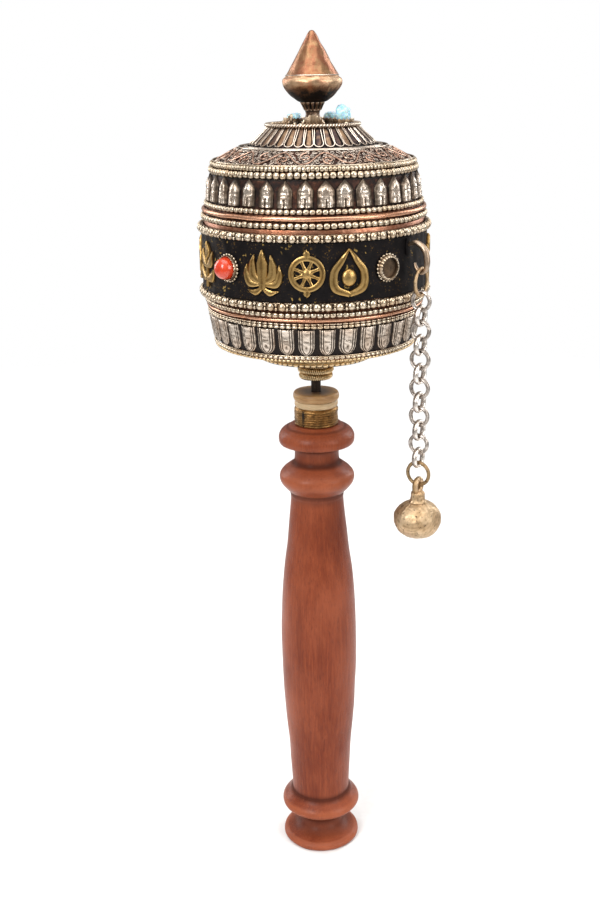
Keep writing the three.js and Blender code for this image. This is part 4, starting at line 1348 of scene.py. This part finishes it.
def lotus(shape, flip):
    """An open flower on two curved leaves."""
    for side in (-1, 1):
        outer = on_side(side, (1.0, -3.9), (4.6, -3.5), (5.9, -0.6), (5.7, 2.6))
        inner = on_side(side, (0.6, -3.2), (3.3, -1.0), (3.6, 2.4), (2.9, 5.8))
        stroke(shape, outer, [1.0, 2.7, 2.2, 0.3])
        stroke(shape, inner, [1.4, 3.2, 2.6, 0.3])
        stroke(shape, on_side(side, (0.3, -5.0), (2.6, -6.4), (5.6, -5.8)), [1.2, 2.2, 0.3])
    stroke(shape, [(0, -5.4), (0, -1.5), (0, 3.0), (0, 7.4)], [2.4, 3.6, 4.0, 0.3], 1.1)


def wheel(shape, flip):
    """A wheel of eight spokes, with a drop below it and a bud above it."""
    ring = [(5.0 * math.sin(turn), 5.0 * math.cos(turn)) for turn in np.linspace(0, 2 * math.pi, 25)]
    stroke(shape, ring, [1.9, 1.9], count=90)
    for i in range(8):
        turn = math.radians(45 * i + 22.5 * flip)
        way = np.array([math.sin(turn), math.cos(turn)])
        stroke(shape, [way * 0.9, way * 3, way * 5], [1.6, 0.9, 1.5], 0.8, 14)
    for end in (1, -1):
        stroke(shape, [(0, end * 4.8), (0, end * 6.4), (0, end * 7.7)], [1.2, 2.6, 0.3], count=16)
    dome(shape, 1.7, 1.2, 0)


def leaf(shape, flip):
    """A spray of five leaves on a stalk."""
    stroke(shape, [(0, -7.6), (0.3 * flip, -3.0), (0, 2.6)], [1.3, 1.7, 1.2])
    stroke(shape, [(0, 1.6), (1.0 * flip, 4.4), (0, 7.6)], [1.0, 3.7, 0.3], 1.1)
    for side in (-1, 1):
        stroke(shape, on_side(side, (0, -0.8), (2.9, 0.6), (4.6, 4.6)), [0.9, 3.3, 0.3])
        stroke(shape, on_side(side, (0, -5.0), (3.6, -4.2), (6.0, -0.8)), [0.9, 3.4, 0.3])


def jewel(shape, flip):
    """A round jewel inside a ring of flame."""
    for side in (-1, 1):
        flame = on_side(side, (0, -7.0), (4.6, -4.8), (5.0, 0.0), (2.6, 3.8), (0, 7.6))
        stroke(shape, flame, [1.8, 2.9, 2.7, 2.0, 0.6])
    dome(shape, 2.5, 1.4, -1.6)


def dome(shape, radius, height, rise):
    """A smooth boss in flat coordinates, with its middle moved up the band by rise."""
    angle = np.radians(np.linspace(0, 90, 10))
    outline = np.stack([radius * np.cos(angle), height * np.sin(angle)], -1)
    boss = turned(Shape(), [(0, -0.4), (radius, -0.4), *outline[:-1], (0, height)], 36, 0.9)
    points = boss.points[0] * [1, 1.15, 1] + [0, rise, 0]
    shape.add(points, [part.copy() for part in boss.faces], 0.85)


ORNAMENTS = [
    (-67, leaf, 1), (-26, lotus, 1), (-4.5, wheel, 1), (15.5, jewel, 1),
    (82.5, leaf, -1), (106, wheel, 1), (152, lotus, 1), (175, jewel, -1), (198, leaf, 1),
    (244, wheel, 1), (267, lotus, -1),
]


def make_ornaments():
    low, high = span("painted_band")
    middle = (low[2] + high[2]) / 2 - 0.1
    for i, (azimuth, draw, flip) in enumerate(ORNAMENTS):
        shape = Shape()
        draw(shape, flip)
        shape.moved(on_band(azimuth, middle, 39.1))
        piece(f"band_{draw.__name__}_{i + 1:02d}", shape, METALS["gilt"], "painted_band", replaces=False)


# ---- Chain and weight ------------------------------------------------------------------------------


def chain_ring(shape, centre, normal, ring_radius, wire, name, flat=1.0, columns=56):
    """A ring of wire, a little uneven, with its closing butt joint; flat widens it across its plane."""
    dice = dice_for(name)
    normal = np.asarray(normal, float)
    aside = np.array([-normal[1], normal[0], 0])
    angle = np.linspace(0, 2 * math.pi, columns, endpoint=False)
    path = centre + ring_radius * (np.outer(np.cos(angle), aside) + np.outer(np.sin(angle), [0, 0, 1]))
    joint = dice.uniform(0.3, 2.8) * dice.choice([-1, 1])
    away = np.abs((angle - joint + math.pi) % (2 * math.pi) - math.pi)
    radius = wire / 2 * (1 - 0.02 - 0.28 * np.exp(-((away / 0.06) ** 2)) + 0.02 * np.sin(3 * angle + joint))
    return tube(shape, path, radius, normal, 14, True, flat, 0.85)


def make_chain():
    out = outward(LINK_TURN)
    aside = np.array([-out[1], out[0], 0])
    names = ["hook_ring", *[f"chain_link_{i:02d}" for i in range(1, LINK_COUNT + 1)], "weight_ring"]
    wires = [HOOK_RING_WIRE, *[LINK_WIRE] * LINK_COUNT, WEIGHT_RING_WIRE]
    for i, (node, wire) in enumerate(zip(names, wires)):
        low, high = span(node)
        centre = (low + high) / 2
        ring_radius = (high[2] - low[2]) / 2 - wire / 2
        is_link = "link" in node
        normal = out if i % 2 == 0 else aside
        flat = LINK_FLATNESS if is_link else 1.0
        shape = chain_ring(Shape(), centre, normal, ring_radius, wire, node, flat)
        material = "chain" if is_link else "weight"
        piece(f"{node}_wire", shape, METALS[material], node)


def make_hook():
    """A hook that springs from a small plate on the band, bows out and turns up through the first ring."""
    seat = 39.9
    reach = 44.8
    path = [(seat - 0.4, 243.7), (reach - 2.2, 244.5), (reach + 1.1, 242.5), (reach + 2.1, 239.0)]
    path += [(reach + 1.8, 236.4), (reach, 234.9), (reach - 1.9, 236.0), (reach - 2.7, 237.9)]
    count = 72
    flat = smooth(path, count)
    points = outward(CHAIN_AZIMUTH)[None, :] * flat[:, :1] + np.array([0, 0, 1.0]) * flat[:, 1:]
    thickness = [0.6, 0.85, 1.1, 1.0, 0.8, 0.68, 0.65, 0.4]
    radius = np.interp(np.linspace(0, 7, count), np.arange(8), thickness)
    shape = tube(Shape(), points, radius, outward(CHAIN_AZIMUTH + 90), 16, flat=1.1)
    piece("curled_hook", shape, METALS["pale"], "chain_staple")
    plate = stroke(Shape(), [(0, -2.8), (0, 0), (0, 2.8)], [2.0, 3.0, 2.0], 0.35, 24)
    plate.moved(on_band(CHAIN_AZIMUTH, 243, 39.4))
    piece("hook_plate", plate, LACQUER, "chain_staple", replaces=False)


def make_weight():
    low, high = span("weight")
    centre = (low + high) / 2
    ball, half_height = 8.3, 6.9
    middle = low[2] + half_height
    angle = np.radians(np.linspace(-90, 70, 44))
    around = np.stack([ball * np.cos(angle), middle + half_height * np.sin(angle)], -1)
    around[0, 0] = 0
    curve = [(3.1, 6.5), (2.65, 7.3), (2.5, 8.5), (2.45, 9.6), (1.8, 10.3)]
    neck = smooth([(radius, middle + rise) for radius, rise in curve], 16)
    outline = [*around, *neck, (0, middle + 10.5)]
    shape = turned(Shape(), outline, 96, 0.72, (0.14, 5.5), "weight")
    points = shape.points[0]
    rough = 0.05 * lumps(points, 1.3, "cast")
    away = points - [0, 0, middle]
    away = away / np.maximum(np.linalg.norm(away, axis=1), 1)[:, None]
    azimuth = np.degrees(np.arctan2(points[:, 0], -points[:, 1]))
    seam = np.exp(-(((azimuth + 52) / 2.2) ** 2)) * 0.16
    points = points + away * (rough + seam)[:, None]
    reach = np.linalg.norm(points[:, :2], axis=1)
    trim = np.minimum(1, ball / np.maximum(reach, 1e-9))
    points[:, :2] *= trim[:, None]
    shape.points[0] = points + [centre[0], centre[1], 0]
    # Raised lumps and the seam get a higher relief: painted highlights.
    shape.relief[0] = np.clip(0.72 + 2.5 * rough + 1.5 * seam, 0, 1)
    eye_wire = 2.1
    eye_centre = np.array([centre[0], centre[1], high[2] - 1.25 - eye_wire])
    chain_ring(shape, eye_centre, outward(LINK_TURN), 1.25 + eye_wire / 2, eye_wire, "weight_eye")
    piece("cast_weight", shape, METALS["weight"], "weight", sharp=60)


# ---- Camera, light and floor -----------------------------------------------------------------------


def make_camera():
    data = bpy.data.cameras.new("camera")
    data.sensor_width = 36
    data.sensor_fit = "AUTO"
    data.lens = CAMERA_LENS
    camera = bpy.data.objects.new("camera", data)
    bpy.context.scene.collection.objects.link(camera)
    pitch = math.radians(CAMERA_PITCH)
    roll = math.radians(CAMERA_ROLL)
    look = Vector((0, math.cos(pitch), -math.sin(pitch)))
    turn = look.to_track_quat("-Z", "Y").to_matrix().to_4x4()
    place = Matrix.Translation(Vector(CAMERA_PLACE) * MM)
    camera.matrix_world = place @ turn @ Matrix.Rotation(-roll, 4, "Z")
    data.clip_start = 0.01
    data.clip_end = 50
    bpy.context.scene.camera = camera


def area_light(name, place, target, size, power, tint=(1, 1, 1)):
    data = bpy.data.lights.new(name, "AREA")
    data.shape = "RECTANGLE"
    data.size, data.size_y = size
    data.energy = power
    data.color = tint
    lamp = bpy.data.objects.new(name, data)
    bpy.context.scene.collection.objects.link(lamp)
    lamp.location = place
    lamp.rotation_mode = "QUATERNION"
    lamp.rotation_quaternion = (Vector(target) - Vector(place)).to_track_quat("-Z", "Y")


def make_light():
    middle = (0, 0, 0.22)
    area_light("key_left", (-0.75, -1.05, 0.95), middle, (0.55, 0.75), 14)
    area_light("fill_right", (1.05, -0.75, 0.65), middle, (0.5, 0.8), 7.5)
    area_light("overhead", (0.0, -0.1, 1.5), middle, (1.3, 1.3), 13)
    area_light("rim_left", (-0.95, 0.75, 0.55), middle, (0.4, 0.9), 5)
    area_light("rim_right", (0.95, 0.8, 0.6), middle, (0.4, 0.9), 5)
    world = bpy.data.worlds.new("studio")
    bpy.context.scene.world = world
    world.use_nodes = True
    nodes, links = world.node_tree.nodes, world.node_tree.links
    seen = nodes["Background"]
    seen.inputs["Color"].default_value = (1, 1, 1, 1)
    direction = nodes.new("ShaderNodeTexCoord")
    parts = nodes.new("ShaderNodeSeparateXYZ")
    links.new(direction.outputs["Generated"], parts.inputs[0])
    shade = nodes.new("ShaderNodeMapRange")
    links.new(parts.outputs["Z"], shade.inputs["Value"])
    shade.inputs["From Min"].default_value = -0.6
    shade.inputs["From Max"].default_value = 0.9
    shade.inputs["To Min"].default_value = 0.16
    shade.inputs["To Max"].default_value = 0.75
    lit = nodes.new("ShaderNodeBackground")
    lit.inputs["Color"].default_value = (1.0, 0.97, 0.93, 1)
    links.new(shade.outputs["Result"], lit.inputs["Strength"])
    choice = nodes.new("ShaderNodeMixShader")
    path = nodes.new("ShaderNodeLightPath")
    links.new(path.outputs["Is Camera Ray"], choice.inputs[0])
    links.new(lit.outputs[0], choice.inputs[1])
    links.new(seen.outputs[0], choice.inputs[2])
    links.new(choice.outputs[0], nodes["World Output"].inputs["Surface"])
    bpy.context.scene.view_settings.view_transform = "Standard"


def make_floor():
    """A pale round floor that fades into the pale background."""
    rings = 24
    sides = 64
    radius = 900
    level = -0.02
    azimuth = np.linspace(0, 2 * math.pi, sides, endpoint=False)
    rows = [spin(radius * i / rings, azimuth, level) for i in range(1, rings + 1)]
    points = np.concatenate([*rows, [[0, 0, level]]])
    quads = loop_grid(rings, sides)
    left = np.arange(sides)
    fan = np.stack([np.full(sides, rings * sides), left, (left + 1) % sides], -1)
    mesh = bpy.data.meshes.new("floor")
    mesh.from_pydata((points * MM).tolist(), [], quads[:, ::-1].tolist() + fan.tolist())
    floor = bpy.data.objects.new("floor", mesh)
    bpy.context.scene.collection.objects.link(floor)
    make = Recipe("pale_floor")
    grain = make.noise(3, 3)
    colour = make.ramp(grain, (0.3, 0.80), (0.7, 0.84))
    make.done(Base_Color=colour, Roughness=0.85)
    make.shader.inputs["Specular IOR Level"].default_value = 0.1
    distance = make.node("ShaderNodeVectorMath", operation="LENGTH")
    make.link(make.place, distance.inputs[0])
    fade = make.ramp(make.maths("DIVIDE", distance.outputs["Value"], radius), (0.25, 0.0), (0.95, 1.0))
    clear = make.node("ShaderNodeBsdfTransparent")
    blend = make.node("ShaderNodeMixShader")
    make.link(fade, blend.inputs[0])
    make.link(make.shader.outputs[0], blend.inputs[1])
    make.link(clear.outputs[0], blend.inputs[2])
    make.link(blend.outputs[0], make.tree.nodes["Material Output"].inputs["Surface"])
    mesh.materials.append(make.material)


# ---- The whole object --------------------------------------------------------------------------------

make_camera()
make_light()
make_floor()
make_handle()
make_ferrule()
make_washer("bone_washer", "bone_disc", BONE, 0.5)
make_washer("horn_washer", "horn_disc", HORN, 0.6)
make_spindle()
make_drum_shell()
make_base()
make_boss()
make_core()
make_scroll()
make_band()
make_big_beads("band_bead_ring_upper")
make_big_beads("band_bead_ring_lower")
simple_beads("base_bead_ring_upper")
stacked_beads("base_bead_ring_lower")
make_copper_wire("base_copper_wire", 0.76, SPLICE)
make_rim_row()
make_petal_bands()
make_lid_shell()
make_lotus()
make_filigree()
make_lid_rings()
make_neck()
make_bowl()
make_cone()
make_band_stones()
make_crown_collars()
make_turquoises()
make_ornaments()
make_hook()
make_chain()
make_weight()
